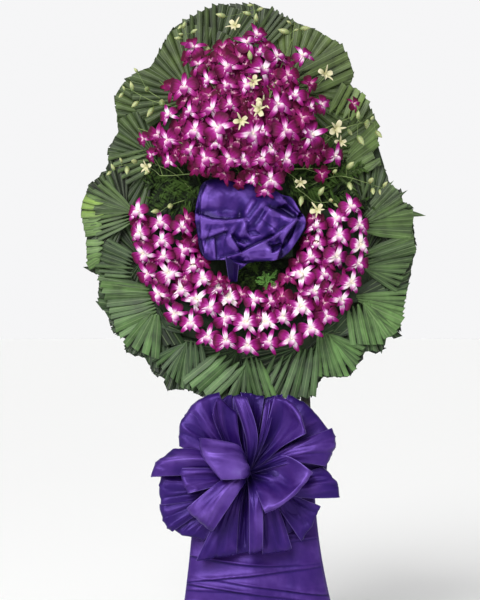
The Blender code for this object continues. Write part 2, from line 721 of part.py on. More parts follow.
def ribbon_loop(direction, length, width, lift, half_depth):
    """One loop of the bow: a wide ribbon that leaves the tie, folds over and comes back."""
    steps = 6
    turn = Matrix.Rotation(-math.radians(direction), 3, "Y") @ Matrix.Rotation(-math.radians(lift), 3, "Z")
    outer, inner = [], []
    for k in range(steps + 1):
        share = 0.06 + 0.88 * k / steps
        angle = math.tau * share
        out = (1 - math.cos(angle)) / 2
        centre = Vector((length * out, -1.35 * half_depth * math.sin(angle) * out, 0))
        slope = Vector((length * math.sin(angle) / 2, 0, 0))
        slope.y = -1.35 * half_depth * (math.cos(angle) * out + math.sin(angle) * math.sin(angle) / 2)
        normal = Vector((slope.y, -slope.x, 0)).normalized()
        half = (0.010 + (width - 0.010) * out**0.8) / 2
        for ring, shift in ((outer, SATIN_THICK / 2), (inner, -SATIN_THICK / 2)):
            ring.append([turn @ (centre + normal * shift + Vector((0, 0, side * half))) for side in (1, -1)])
    rings = []
    for k in range(steps + 1):
        rings.append([outer[k][0], outer[k][1], inner[k][1], inner[k][0]])
    return loft(rings)


def build_bow(front, finish):
    """The big bow: loops gathered to one tie, whose back lies on the gathered top of the skirt."""
    hub = at(BOW_MIDDLE[0], BOW_HUB_DEPTH, BOW_MIDDLE[1])
    seat = at(BOW_MIDDLE[0], BOW_SEAT_DEPTH, BOW_MIDDLE[1])
    core = tube([seat, hub.lerp(seat, 0.35), hub + Vector((0, -0.020, 0))], (0.020, 0.028, 0.016), 6)
    shapes = [core]
    for loop in LOOPS:
        shapes.append(moved(ribbon_loop(*loop), Matrix.Translation(hub)))
    fuse("bow", shapes, finish, front)


def build_skirt(root, finish):
    """The satin that hangs from the low crossbar to just above the floor, in soft upright folds."""
    slope = math.tan(math.radians(LEAN))
    columns, rows = 18, 4
    top_depth = (GAP * 2 + BAR_DEPTH) / math.cos(math.radians(LEAN)) + 0.001
    points, triangles = [], []
    for row in range(rows + 1):
        share = row / rows
        z = SKIRT_TOP + (SKIRT_HEM - SKIRT_TOP) * share
        back = (SKIRT_TOP * slope - top_depth) * (1 - share) - SKIRT_FLARE * share
        left = SKIRT_TOP_EDGES[0] + (SKIRT_HEM_EDGES[0] - SKIRT_TOP_EDGES[0]) * share**0.8
        right = SKIRT_TOP_EDGES[1] + (SKIRT_HEM_EDGES[1] - SKIRT_TOP_EDGES[1]) * share**0.8
        for column in range(columns + 1):
            across = column / columns
            wave = math.cos(math.tau * (4.5 * across + 0.15 * share))
            fold = 0.0016 + 0.0124 * share
            round_off = 0.045 * share * (2 * across - 1) ** 2
            y = back - fold * (1 + wave) + round_off
            points.append(Vector((left + (right - left) * across, y, z)))
    for row in range(rows):
        for column in range(columns):
            a = row * (columns + 1) + column
            b, c, d = a + 1, a + columns + 1, a + columns + 2
            triangles += [(a, b, c), (b, d, c)]
    put("skirt", blade(points, triangles, Vector((0, -SATIN_THICK, 0))), finish, root)


def stem_holes(paths):
    """A plain hole in the foam for each spray's stem: where it is, and its cutter."""
    holes = []
    for path in paths:
        inner = path[0] + Vector((0, 0.002, 0))
        outer = Vector((path[0].x, -(BLOCK_FOAM_FRONT + 0.002), path[0].z))
        holes.append((path[0], tube([inner, outer], (STEM_RADIUS + 2 * GAP,) * 2, 4)))
    return holes


def centre_on_origin(root):
    """Moves the whole so that the middle of its box stands over the origin, its feet on the floor."""
    bpy.context.view_layer.update()
    corners = []
    for piece in bpy.context.scene.objects:
        if piece.type == "MESH":
            corners += [piece.matrix_world @ vertex.co for vertex in piece.data.vertices]
    for axis in (0, 1):
        values = [corner[axis] for corner in corners]
        root.location[axis] = -(min(values) + max(values)) / 2
    root.location.z = -min(corner.z for corner in corners)


def add_empty(name, parent=None):
    empty = bpy.data.objects.new(name, None)
    empty.parent = parent
    bpy.context.scene.collection.objects.link(empty)
    return empty


def main():
    for old in list(bpy.data.objects):
        bpy.data.objects.remove(old)
    root = add_empty("wreath_stand")
    front = add_empty("leaning_front", root)
    front.rotation_euler.x = -math.radians(LEAN)

    dark_wood = make_finish("stained_wood", (0.035, 0.032, 0.026), 0.6)
    board = make_finish("wrapped_board", (0.040, 0.055, 0.025), 0.8)
    foam = make_finish("flower_foam", (0.030, 0.095, 0.040), 0.9)
    palm = make_finish("palm_leaf", (0.110, 0.200, 0.070), 0.5)
    fern = make_finish("fern_leaf", (0.030, 0.075, 0.022), 0.6)
    orchid = make_finish("orchid_petal", (0.360, 0.020, 0.300), 0.45)
    green_bud = make_finish("orchid_bud", (0.560, 0.640, 0.310), 0.5)
    satin = make_finish("purple_satin", (0.085, 0.030, 0.290), 0.35)

    clear = Clearances()
    paths = [spray_path(direction, length, proud) for direction, length, _, proud, _ in SPRAYS]
    build_stand(root, dark_wood)
    build_board(front, board)
    build_foam(front, foam, stem_holes(paths))
    build_fans(front, palm, clear.add)
    build_ferns(front, fern, clear)
    build_puff(front, satin, clear)
    build_crescent(front, orchid, clear)
    build_sprays(front, orchid, clear, paths)
    build_twigs(front, green_bud, clear)
    build_bow(front, satin)
    build_skirt(root, satin)
    centre_on_origin(root)


main()
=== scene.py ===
import math
import random

import bmesh
import bpy
from mathutils import Matrix, Vector, noise


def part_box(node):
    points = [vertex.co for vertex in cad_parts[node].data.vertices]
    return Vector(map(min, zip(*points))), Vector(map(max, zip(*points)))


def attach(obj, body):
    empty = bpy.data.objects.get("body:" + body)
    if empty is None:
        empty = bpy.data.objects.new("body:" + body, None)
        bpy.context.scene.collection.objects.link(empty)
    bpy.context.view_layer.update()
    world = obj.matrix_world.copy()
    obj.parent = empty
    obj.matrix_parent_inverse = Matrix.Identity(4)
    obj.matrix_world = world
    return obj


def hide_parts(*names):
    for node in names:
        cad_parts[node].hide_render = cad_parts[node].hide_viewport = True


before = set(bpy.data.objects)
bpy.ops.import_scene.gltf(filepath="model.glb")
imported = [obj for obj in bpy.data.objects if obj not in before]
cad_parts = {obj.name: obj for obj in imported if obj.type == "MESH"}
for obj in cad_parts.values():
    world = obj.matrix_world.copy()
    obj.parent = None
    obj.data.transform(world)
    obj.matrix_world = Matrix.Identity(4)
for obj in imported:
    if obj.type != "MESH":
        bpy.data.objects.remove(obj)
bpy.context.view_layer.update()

# The front: legs, board, leaves, flowers and bow all lean back together. A place on it is given as across from
# the middle of the leaf oval, out towards the viewer from the legs, and up from that middle.
LEAN = math.radians(7)
OVAL_UP = 1.215
board_low, board_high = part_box("backing_board")
leg_low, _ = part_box("leg_left")
FOOT_LINE = Vector(((board_low[0] + board_high[0]) / 2, leg_low[1], 0))
FRONT = Matrix.Translation(FOOT_LINE) @ Matrix.Rotation(-LEAN, 4, "X") @ Matrix.Translation((0, 0, OVAL_UP))
TURN = FRONT.to_3x3()
INTO_FRONT = FRONT.inverted()


def on_front(across, out, up):
    """The place in the world of a place on the front."""
    return FRONT @ Vector((across, -out, up))


# The camera looks level from 5 m in front, so that the oval fills the picture's upper two thirds.
PICTURE = (480, 600)
MIDDLE = (250, 200)  # the pixel that shows the middle of the leaf oval
PIXEL = 0.0027  # metres on the leaves that one pixel of the picture shows
AIM = on_front((PICTURE[0] / 2 - MIDDLE[0]) * PIXEL, 0.02, (MIDDLE[1] - PICTURE[1] / 2) * PIXEL)
AWAY = 5.0
EYE = AIM - Vector((0, AWAY, 0))
lens = bpy.data.cameras.new("camera")
lens.sensor_fit = "VERTICAL"
lens.sensor_height = 24
lens.lens = lens.sensor_height * AWAY / (PICTURE[1] * PIXEL)
camera = bpy.data.objects.new("camera", lens)
camera.location = EYE
camera.rotation_euler = (math.radians(90), 0, 0)
bpy.context.scene.collection.objects.link(camera)
bpy.context.scene.camera = camera


def seen(px, py, out):
    """The place on the leaning front, that far out, that shows at a pixel of the picture."""
    ray = Vector(((px - PICTURE[0] / 2) * PIXEL, AWAY, (PICTURE[1] / 2 - py) * PIXEL))
    start, along = INTO_FRONT @ EYE, INTO_FRONT.to_3x3() @ ray
    return EYE + ray * ((-out - start.y) / along.y)


# Plain studio: a pale floor without an edge, a soft sun and a soft box, both from the upper left.
def hex_colour(text):
    """sRGB hex to linear, with alpha."""
    parts = [int(text[i : i + 2], 16) / 255 for i in (1, 3, 5)]
    return (*[p / 12.92 if p <= 0.04045 else ((p + 0.055) / 1.055) ** 2.4 for p in parts], 1.0)


def add(tree, kind, feeds=None, out=0, stops=(), **settings):
    """Adds a node of the tree's own family, or takes one that is there, and gives one of its outputs. The node gets
    its settings, its inputs as values or as links, and the stops of its colour ramp."""
    node = kind if isinstance(kind, bpy.types.Node) else tree.nodes.new(tree.bl_idname.removesuffix("Tree") + kind)
    for name, value in settings.items():
        setattr(node, name, value)
    for name, value in (feeds or {}).items():
        if isinstance(value, bpy.types.NodeSocket):
            tree.links.new(value, node.inputs[name])
        else:
            node.inputs[name].default_value = value
    for k, (position, colour) in enumerate(stops[:1] + stops[-1:] + stops[1:-1]):
        stop = node.color_ramp.elements[k] if k < 2 else node.color_ramp.elements.new(position)
        stop.position, stop.color = position, hex_colour(colour)
    return node.outputs[out]


def new_finish(name, **sockets):
    """A material with one Principled shader, and the values that are the same all over it."""
    finish = bpy.data.materials.new(name)
    finish.use_nodes = True
    shader = finish.node_tree.nodes["Principled BSDF"]
    for socket, value in sockets.items():
        shader.inputs[socket.replace("_", " ")].default_value = value
    return finish, finish.node_tree, shader


studio = new_finish("pale floor", Roughness=0.9, Base_Color=hex_colour("#fcfcfb"))[0]
bpy.ops.mesh.primitive_circle_add(vertices=64, radius=40, fill_type="NGON")
floor = bpy.context.object
floor.name = "floor"
floor.data.materials.append(studio)
world = bpy.data.worlds.new("studio")
world.use_nodes = True
tree = world.node_tree
height = add(tree, "SeparateXYZ", {"Vector": add(tree, "TexCoord")}, out="Z")
glow = add(tree, "MapRange", {
    "Value": height, "From Min": 0.18, "From Max": 0.42, "To Min": 0.945, "To Max": 0.46})
add(tree, tree.nodes["Background"], {"Color": hex_colour("#fcfcfd"), "Strength": glow})
bpy.context.scene.world = world
bpy.context.scene.view_settings.view_transform = "Standard"
for name, kind, place, size, power in (
    ("daylight", "SUN", (-1.7, -3.2, 3.6), 0.7, 2.6),
    ("soft_box", "AREA", (-1.2, -3.0, 2.6), 1.2, 30),
):
    lamp = bpy.data.lights.new(name, kind)
    setattr(lamp, "angle" if kind == "SUN" else "size", size)
    lamp.energy = power
    light = bpy.data.objects.new(name, lamp)
    light.location = place
    light.rotation_euler = (Vector((0, 0, 1.1)) - light.location).to_track_quat("-Z", "Y").to_euler()
    bpy.context.scene.collection.objects.link(light)

# The stand: sawn softwood battens, stained a dark olive, with fine upright grain.
def grained(name, roughness, kind, size, stretch, stops, relief):
    """A matt finish whose colour and relief both follow one pattern of a size, which is drawn out along Z."""
    finish, tree, shader = new_finish(name, Roughness=roughness)
    places = add(tree, "TexCoord", out="Object")
    if stretch < 1:
        places = add(tree, "Mapping", {"Vector": places, "Scale": (1, 1, stretch)})
    pattern = add(tree, kind, {"Vector": places, **size})
    bump = add(tree, "Bump", {"Height": pattern, "Strength": relief[0], "Distance": relief[1]})
    colour = add(tree, "ValToRGB", {"Fac": pattern}, stops=stops)
    add(tree, shader, {"Base Color": colour, "Normal": bump})
    return finish


def dress(finish, *nodes):
    """These solids keep their shape and get this finish."""
    for node in nodes:
        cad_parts[node].data.materials.clear()
        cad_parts[node].data.materials.append(finish)


wood = grained("stained softwood", 0.62, "TexNoise", {"Scale": 220.0, "Detail": 6.0, "Roughness": 0.6}, 0.06,
               ((0.35, "#1d1c17"), (0.70, "#47443a")), (0.35, 0.001))
dress(wood, "leg_left", "leg_right", "leg_rear", "crossbar_top", "crossbar_low", "brace")

# The board behind the leaves: thin plywood wrapped in dark green crepe paper, whose creases run upright.
crepe = grained("dark green crepe paper", 0.85, "TexNoise", {"Scale": 260.0, "Detail": 3.0}, 0.12,
                ((0, "#141d0f"), (1, "#2b3b20")), (0.6, 0.002))
dress(crepe, "backing_board")

# Wet flower foam: phenolic foam with open cells of about a third of a millimetre, drawn at 1.5 mm to show.
foam = grained("wet flower foam", 0.95, "TexVoronoi", {"Scale": 650.0}, 1,
               ((0, "#0a160c"), (1, "#1d3019")), (0.8, 0.001))
dress(foam, "foam_arm_1", "foam_arm_2", "foam_arm_3", "foam_arm_4", "foam_upper", "foam_lower")

# Palm fans: fresh fan palm leaves, pleated from the hub, slit apart towards their tips and trimmed with
# scissors so that together they make one oval. They are stapled to the board, overlapping each other.
PLEAT, LEAF_THICK = 0.0052, 0.0006
FIRST_LAYER, LAYER_STEP, UNDER = 0.0159, 0.0087, 0.0030  # how far out the fans lie, and how far behind each lies the leaf under it, painted dark as shade
HAND_LAYER, HAND_STEP = 0.0405, 0.0019
LEAFLETS, FAN_SPREAD = 17, 158.0
SLIT_APART = 0.45  # from here on the blades of a leaf stand apart
# hub across and up, direction, reach at the first and the last leaflet, layer, tone from dark to light, and how far
# the blades are slit apart at the first and the last leaflet
FANS = (
    (-0.335, -0.040, 171, 0.157, 0.149, 2, 0.22, 0.9, 0.7),
    (-0.290, -0.160, 180, 0.167, 0.157, 0, 0.15, 0.8, 0.5),
    (-0.255, -0.300, 208, 0.207, 0.149, 1, 0.30, 0.1, 1.0),
    (-0.176, -0.382, 243, 0.157, 0.159, 0, 0.16, 0.3, 0.7),
    (-0.032, -0.405, 250, 0.168, 0.140, 1, 0.30, 0.9, 0.9),
    (0.135, -0.398, 262, 0.160, 0.132, 2, 0.28, 0.9, 0.9),
    (0.200, -0.360, 300, 0.145, 0.151, 0, 0.22, 0.8, 0.8),
    (0.298, -0.266, 320, 0.173, 0.153, 1, 0.28, 1.0, 0.6),
    (0.312, -0.150, 2, 0.167, 0.163, 0, 0.24, 0.4, 0.5),
    (0.322, -0.050, 27, 0.149, 0.159, 1, 0.30, 0.6, 0.9),
    (0.185, 0.126, 28, 0.185, 0.206, 0, 0.72, 0.3, 0.3),
    (0.105, 0.313, 34, 0.185, 0.188, 1, 0.60, 0.3, 0.2),
    (0.016, 0.354, 74, 0.212, 0.192, 0, 0.18, 0.6, 0.3),
    (-0.107, 0.354, 108, 0.186, 0.174, 1, 0.28, 0.4, 0.4),
    (-0.153, 0.287, 133, 0.198, 0.148, 2, 0.40, 0.3, 0.2),
    (-0.225, 0.230, 156, 0.158, 0.150, 0, 0.46, 0.3, 0.3),
    (-0.255, 0.121, 178, 0.132, 0.162, 1, 0.36, 0.4, 0.6),
)
# hands of blades on top of them: fan, how many, the first and the last blade from foot to tip in pixels, their width
# in pixels, tone, how many sheets of leaf lie under them, and whether they keep their points
HANDS = (
    (1, 3, (98, 201, 82, 197), (98, 213, 81, 214), 9, 0.96, 1, 0),
    (1, 3, (95, 219, 81, 220), (96, 232, 85, 234), 8, 0.86, 1, 0),
    (1, 5, (128, 206, 104, 180), (124, 211, 83, 199), 5.6, 0.62, 2, 0),
    (1, 3, (124, 210, 94, 201), (122, 213, 95, 213), 8, 0.56, 3, 0),
    (1, 5, (122, 214, 88, 219), (126, 225, 98, 239), 4.0, 0.58, 3, 0),
    (2, 4, (98, 242, 86, 243), (95, 262, 88, 266), 9, 0.90, 1, 0),
    (2, 6, (131, 252, 107, 239), (122, 270, 92, 262), 5.2, 0.30, 1, 0),
    (2, 3, (128, 268, 93, 265), (126, 276, 104, 275), 4.0, 0.46, 2, 0),
    (3, 3, (172, 318, 140, 296), (178, 330, 150, 318), 9, 0.16, 0, 0),
    (3, 10, (142, 285, 98, 277), (152, 317, 118, 336), 8.0, 0.60, 2, 0),
    (3, 4, (146, 319, 125, 345), (158, 321, 155, 358), 8.6, 0.64, 3, 0),
    (4, 3, (152, 318, 168, 345), (162, 314, 182, 345), 9, 0.12, 0, 0),
    (4, 8, (180, 346, 152, 360), (187, 348, 187, 392), 5.2, 0.40, 1, 0),
    (4, 3, (191, 347, 189, 374), (201, 348, 205, 372), 6, 0.42, 1, 0),
    (5, 5, (215, 356, 183, 381), (241, 369, 213, 398), 8.4, 0.66, 3, 0),
    (5, 5, (243, 366, 228, 399), (248, 363, 257, 399), 5.2, 0.54, 2, 0),
    (5, 3, (252, 361, 262, 400), (263, 366, 277, 402), 5.4, 0.66, 3, 0),
    (6, 3, (273, 362, 263, 382), (289, 359, 273, 394), 4.6, 0.60, 2, 0),
    (6, 4, (298, 356, 284, 397), (316, 352, 313, 396), 7.2, 0.56, 3, 0),
    (7, 3, (326, 331, 348, 312), (330, 334, 362, 328), 9, 0.14, 0, 0),
    (7, 5, (318, 337, 320, 376), (331, 340, 348, 378), 5.8, 0.70, 2, 0),
    (7, 5, (332, 342, 355, 370), (331, 335, 364, 349), 5.8, 0.68, 1, 0),
    (8, 4, (346, 302, 378, 280), (350, 300, 388, 292), 9, 0.14, 0, 0),
    (8, 2, (338, 328, 352, 312), (344, 332, 358, 320), 8, 0.14, 0, 0),
    (8, 5, (362, 295, 407, 292), (364, 303, 404, 315), 5.6, 0.70, 2, 0),
    (8, 4, (369, 305, 403, 321), (367, 308, 390, 340), 9.6, 0.74, 3, 0),
    (8, 5, (349, 314, 353, 345), (370, 306, 381, 344), 6.8, 0.72, 3, 0),
    (9, 5, (370, 250, 413, 233), (371, 263, 417, 250), 7, 0.50, 1, 0),
    (9, 6, (373, 266, 412, 258), (370, 273, 397, 291), 5.4, 0.50, 2, 0),
    (10, 3, (367, 211, 391, 183), (371, 214, 398, 190), 6.2, 0.48, 2, 0),
    (10, 3, (373, 217, 400, 196), (376, 219, 407, 204), 5.2, 0.60, 3, 0),
    (10, 5, (376, 219, 415, 212), (371, 232, 411, 237), 7.6, 0.56, 2, 0),
    (10, 2, (372, 203, 394, 180), (384, 206, 408, 190), 7, 0.42, 1, 1),
    (10, 1, (398, 212, 426, 216), (398, 212, 426, 216), 8, 0.50, 1, 1),
    (10, 3, (332, 179, 352, 197), (344, 174, 364, 187), 4, 0.66, 1, 1),
    (10, 2, (362, 202, 368, 184), (372, 168, 384, 157), 3.4, 0.62, 1, 0),
    (11, 5, (332, 108, 345, 84), (360, 118, 371, 94), 7, 0.70, 0, 0),
    (11, 5, (352, 150, 380, 120), (352, 172, 382, 160), 9, 0.68, 0, 0),
    (12, 4, (300, 70, 346, 45), (310, 92, 353, 72), 9, 0.58, 0, 0),
    (13, 5, (256, 34, 276, 2), (268, 46, 300, 12), 4.4, 0.34, 1, 0),
    (14, 5, (186, 48, 184, 10), (214, 44, 214, 0), 5.4, 0.36, 1, 0),
    (17, 5, (140, 151, 108, 158), (152, 168, 126, 183), 5.2, 0.54, 2, 0),
)
# The trimmed edge of the oval as the picture shows it, in pixels, anticlockwise from the top
EDGE = (
    (238, -6), (215, -3), (200, 4), (172, 20), (160, 42), (150, 62), (125, 72), (112, 92), (117, 128), (106, 148),
    (108, 168), (88, 183), (80, 210), (86, 240), (87, 271), (99, 272), (98, 305), (107, 315), (113, 333), (127, 340),
    (125, 352), (145, 358), (154, 375), (165, 379), (166, 390), (188, 390), (200, 396), (218, 402), (240, 404),
    (262, 406), (285, 400), (300, 400), (312, 397), (320, 378), (350, 377), (365, 352), (382, 352), (387, 338),
    (399, 338), (405, 300), (413, 265), (417, 247), (414, 222), (413, 205), (403, 200), (403, 190), (391, 183),
    (384, 160), (372, 160), (380, 138), (379, 118), (367, 92), (353, 82), (355, 70), (352, 55), (343, 38),
    (318, 23), (292, 13), (272, 0), (256, -4),
)
TRIMMED = [((px - MIDDLE[0]) * PIXEL, (MIDDLE[1] - py) * PIXEL) for px, py in EDGE]
SLANTS = (-0.60, -0.30, 0.0, 0.30, 0.60)  # how far the scissors cut a leaflet's end off square


def quads(rows, columns, closed=False):
    """The faces of a grid of points, row by row, or of a tube when each row is a closed ring."""
    wide = columns if closed else columns + 1
    for row in range(rows):
        for k in range(columns):
            a, b = row * wide + k, row * wide + (k + 1) % wide
            yield a, b, b + wide, a + wide


def shell(rows, columns, shape, thick, **same):
    """A thin closed leaf or petal: shape(along, across) is its front, and it is thick towards the back. It carries
    the marks along and across, and those that are the same all over it."""
    grid = [(r / rows, 2 * c / columns - 1) for r in range(rows + 1) for c in range(columns + 1)]
    front = [Vector(shape(along, across)) for along, across in grid]
    points = front + [point + Vector((0, thick, 0)) for point in front]
    count, wide = len(front), columns + 1
    faces = []
    for a, b, c, d in quads(rows, columns):
        faces += [(a, b, c, d), (a + count, d + count, c + count, b + count)]
    rim = list(range(columns)) + [r * wide + columns for r in range(rows)]
    rim += [rows * wide + c for c in range(columns, 0, -1)] + [r * wide for r in range(rows, 0, -1)]
    for a, b in zip(rim, rim[1:] + rim[:1]):
        faces.append((b, a, a + count, b + count))
    marks = {"along": [g[0] for g in grid] * 2, "across": [g[1] for g in grid] * 2}
    return points, faces, marks | {name: [value] * len(points) for name, value in same.items()}


def gather(parts):
    """Several (points, faces, marks) as one."""
    points, faces, marks = [], [], {}
    for part_points, part_faces, part_marks in parts:
        shift = len(points)
        points += part_points
        faces += [tuple(i + shift for i in face) for face in part_faces]
        for name, values in part_marks.items():
            marks.setdefault(name, []).extend(values)
    return points, faces, marks


def make_piece(name, part, finish=None, smooth=True):
    """An object in no collection, from points, faces and the marks that its material reads at each point."""
    points, faces, marks = part
    mesh = bpy.data.meshes.new(name)
    mesh.from_pydata([tuple(p) for p in points], [], faces)
    for mark, values in marks.items():
        mesh.attributes.new(mark, "FLOAT", "POINT").data.foreach_set("value", values)
    work = bmesh.new()
    work.from_mesh(mesh)
    bmesh.ops.recalc_face_normals(work, faces=work.faces)
    work.to_mesh(mesh)
    work.free()
    if finish:
        mesh.materials.append(finish)
    mesh.shade_smooth() if smooth else mesh.shade_flat()
    return bpy.data.objects.new(name, mesh)


layout = bpy.data.node_groups.new("set out by spots", "GeometryNodeTree")
for socket, kind in (("Spots", "Geometry"), ("Pieces", "Collection"), ("Finish", "Material"), ("Rest", "Object")):
    layout.interface.new_socket(socket, in_out="INPUT", socket_type="NodeSocket" + kind)
layout.interface.new_socket("Laid out", in_out="OUTPUT", socket_type="NodeSocketGeometry")
given = layout.nodes.new("NodeGroupInput").outputs
pieces = add(layout, "CollectionInfo", {
    "Collection": given["Pieces"], "Separate Children": True, "Reset Children": True})
spin, stretch, which = (
    add(layout, "InputNamedAttribute", {"Name": mark}, data_type=kind)
    for mark, kind in (("spin", "FLOAT_VECTOR"), ("stretch", "FLOAT_VECTOR"), ("which", "INT")))
laid = add(layout, "InstanceOnPoints", {
    "Points": given["Spots"], "Instance": pieces, "Pick Instance": True, "Instance Index": which,
    "Rotation": spin, "Scale": stretch})
plain = add(layout, "RealizeInstances", {"Geometry": laid})
finished = add(layout, "SetMaterial", {"Geometry": plain, "Material": given["Finish"]})
rest = add(layout, "ObjectInfo", {"Object": given["Rest"]}, out="Geometry")
joined = add(layout, "JoinGeometry", {"Geometry": finished})
layout.links.new(rest, joined.node.inputs["Geometry"])
layout.links.new(joined, layout.nodes.new("NodeGroupOutput").inputs["Laid out"])


def settle(piece):
    """What the piece's modifiers give becomes its own plain mesh."""
    plain = bpy.data.meshes.new_from_object(piece.evaluated_get(bpy.context.evaluated_depsgraph_get()))
    piece.modifiers.clear()
    piece.data = plain
    return piece


def set_out(name, pieces, finish, spots, rest=None):
    """One plain object: at each spot (matrix, stretch, which piece, tone) a piece, joined to the rest."""
    kit = bpy.data.collections.new(name + " kit")
    for piece in pieces:
        kit.objects.link(piece)
    mesh = bpy.data.meshes.new(name)
    mesh.from_pydata([tuple(spot[0].translation) for spot in spots], [], [])
    for mark, kind, field, values in (
        ("spin", "FLOAT_VECTOR", "vector", [value for spot in spots for value in spot[0].to_euler()]),
        ("stretch", "FLOAT_VECTOR", "vector", [value for spot in spots for value in spot[1]]),
        ("which", "INT", "value", [spot[2] for spot in spots]),
        ("tone", "FLOAT", "value", [spot[3] for spot in spots]),
    ):
        mesh.attributes.new(mark, kind, "POINT").data.foreach_set(field, values)
    carrier = bpy.data.objects.new(name, mesh)
    bpy.context.scene.collection.objects.link(carrier)
    modifier = carrier.modifiers.new("set out", "NODES")
    modifier.node_group = layout
    values = {"Pieces": kit, "Finish": finish, "Rest": rest}
    for item in layout.interface.items_tree:
        if item.name in values:
            modifier[item.identifier] = values[item.name]
    settle(carrier)
    bpy.data.collections.remove(kit)
    if rest:
        bpy.data.objects.remove(rest)
    return carrier


def ride(piece, slot, *nodes):
    """The piece stands for its nodes, which it hides, and goes with the one body. The slot is not used."""
    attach(piece, "root")
    if nodes:
        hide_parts(*nodes)
    return piece


def leaflet(slant, slit):
    """A unit leaflet along +X: V-folded with its ridge to the front, flatter where it is slit from its neighbours."""

    def shape(along, across):
        split = max(0.0, (along - 0.55) / 0.45)
        wide = along * (1 - 0.10 * split ** 1.3) + 0.012
        reach = along * (1 + slant * across * 0.12 * along ** 2)
        ridge = -(1 - abs(across) ** 1.15) * (0.25 + 0.75 * along) * (0.36 - 0.06 * slit)
        return reach, ridge + 0.25 * math.sin(5 * along + 2 * slant), across * wide / 2

    # fold sets how strongly painted shade darkens the leaflet towards its edges, in the folds
    return shell(9, 4, shape, LEAF_THICK / PLEAT, fold=0.30 - 0.15 * slit)


def blade(pointed):
    """A unit blade along +X that is slit off the whole way: nearly even in width, cut square or left pointed."""

    def shape(along, across):
        wide = min(1.0, (along + 0.06) / 0.42) ** 0.7 * (1 - 0.10 * along)
        if pointed:
            wide *= max(0.02, 1 - along ** 2.5)
        reach = along * (1 + 0.02 * across)
        return reach, 0.14 * across * across + 0.12 * math.sin(4 * along), across * wide / 2

    # fold sets how strongly painted shade darkens the blade towards its edges
    return shell(9, 4, shape, LEAF_THICK / PLEAT, fold=0.55)


# Palm leaf: smooth and waxy, mottled, with a painted highlight on each leaflet's ridge and painted shade in its
# folds.
palm, tree, shader = new_finish("fresh palm leaf", Roughness=0.48, Specular_IOR_Level=0.32)
along, across, tone, fold = (
    add(tree, "Attribute", out="Fac", attribute_name=mark) for mark in ("along", "across", "tone", "fold"))
body = add(tree, "ValToRGB", {"Fac": tone}, stops=(
    (0, "#162010"), (0.30, "#2b3d21"), (0.60, "#435830"), (0.88, "#607a46"), (1, "#748f3c")))
places = add(tree, "TexCoord", out="Object")
# the leaves at the top are older and more olive, those at the bottom fresher and cooler in colour
height = add(tree, "SeparateXYZ", {"Vector": places}, out="Z")
age = add(tree, "MapRange", {"Value": height, "From Min": 0.80, "From Max": 1.60})
tint = add(tree, "ValToRGB", {"Fac": age}, stops=((0, "#def4e4"), (1, "#fff0d4")))
aged = add(tree, "Mix", {"Factor": 1.0, 6: body, 7: tint}, out=2, data_type="RGBA", blend_type="MULTIPLY")
cloudy = add(tree, "TexNoise", {"Vector": places, "Scale": 28.0, "Detail": 3.0})
drawn_out = add(tree, "Math", {0: along, 1: 0.12}, operation="MULTIPLY")
streak = add(tree, "CombineXYZ", {"X": across, "Y": drawn_out, "Z": tone})
veins = add(tree, "TexNoise", {"Vector": streak, "Scale": 9.0, "Detail": 3.0})
mottle = add(tree, "Math", {0: cloudy, 1: veins}, operation="ADD")
light = add(tree, "MapRange", {
    "Value": mottle, "From Min": 0.7, "From Max": 1.3, "To Min": 0.45, "To Max": 1.6})
bright = add(tree, "HueSaturation", {"Color": aged, "Value": light})
off_rib = add(tree, "Math", {0: across}, operation="ABSOLUTE")
# painted highlight: a pale line along the ridge of each leaflet, where its fold catches the light
rib_highlight = add(tree, "MapRange", {
    "Value": off_rib, "From Min": 0.02, "From Max": 0.14, "To Min": 0.40, "To Max": 0.0})
with_rib_highlight = add(tree, "Mix", {"Factor": rib_highlight, 6: bright, 7: hex_colour("#7d8f63")}, out=2, data_type="RGBA")
# painted shade: the leaflet darkens towards its edges, in the folds between leaflets, by its fold mark
fold_shade = add(tree, "MapRange", {
    "Value": off_rib, "From Min": 0.70, "From Max": 1.0, "To Min": 0.0, "To Max": 0.85})
dark = add(tree, "Math", {0: fold_shade, 1: fold}, operation="MULTIPLY")
folded = add(tree, "Mix", {"Factor": dark, 6: with_rib_highlight, 7: hex_colour("#121a0d")}, out=2, data_type="RGBA")
rough = add(tree, "Bump", {"Height": veins, "Strength": 0.4, "Distance": 0.001})
add(tree, shader, {"Base Color": folded, "Normal": rough})


def trimmed_reach(hub, degrees, most):
    """How far a leaflet runs from its hub before the scissors' cut, at most so far."""
    aim = (math.cos(math.radians(degrees)), math.sin(math.radians(degrees)))
    best = most
    for (ax, az), (bx, bz) in zip(TRIMMED, TRIMMED[1:] + TRIMMED[:1]):
        ex, ez = bx - ax, bz - az
        cross = aim[0] * ez - aim[1] * ex
        if abs(cross) < 1e-9:
            continue
        run = ((ax - hub[0]) * ez - (az - hub[1]) * ex) / cross
        share = ((ax - hub[0]) * aim[1] - (az - hub[1]) * aim[0]) / cross
        if run > 0.02 and 0 <= share <= 1:
            best = min(best, run)
    return best


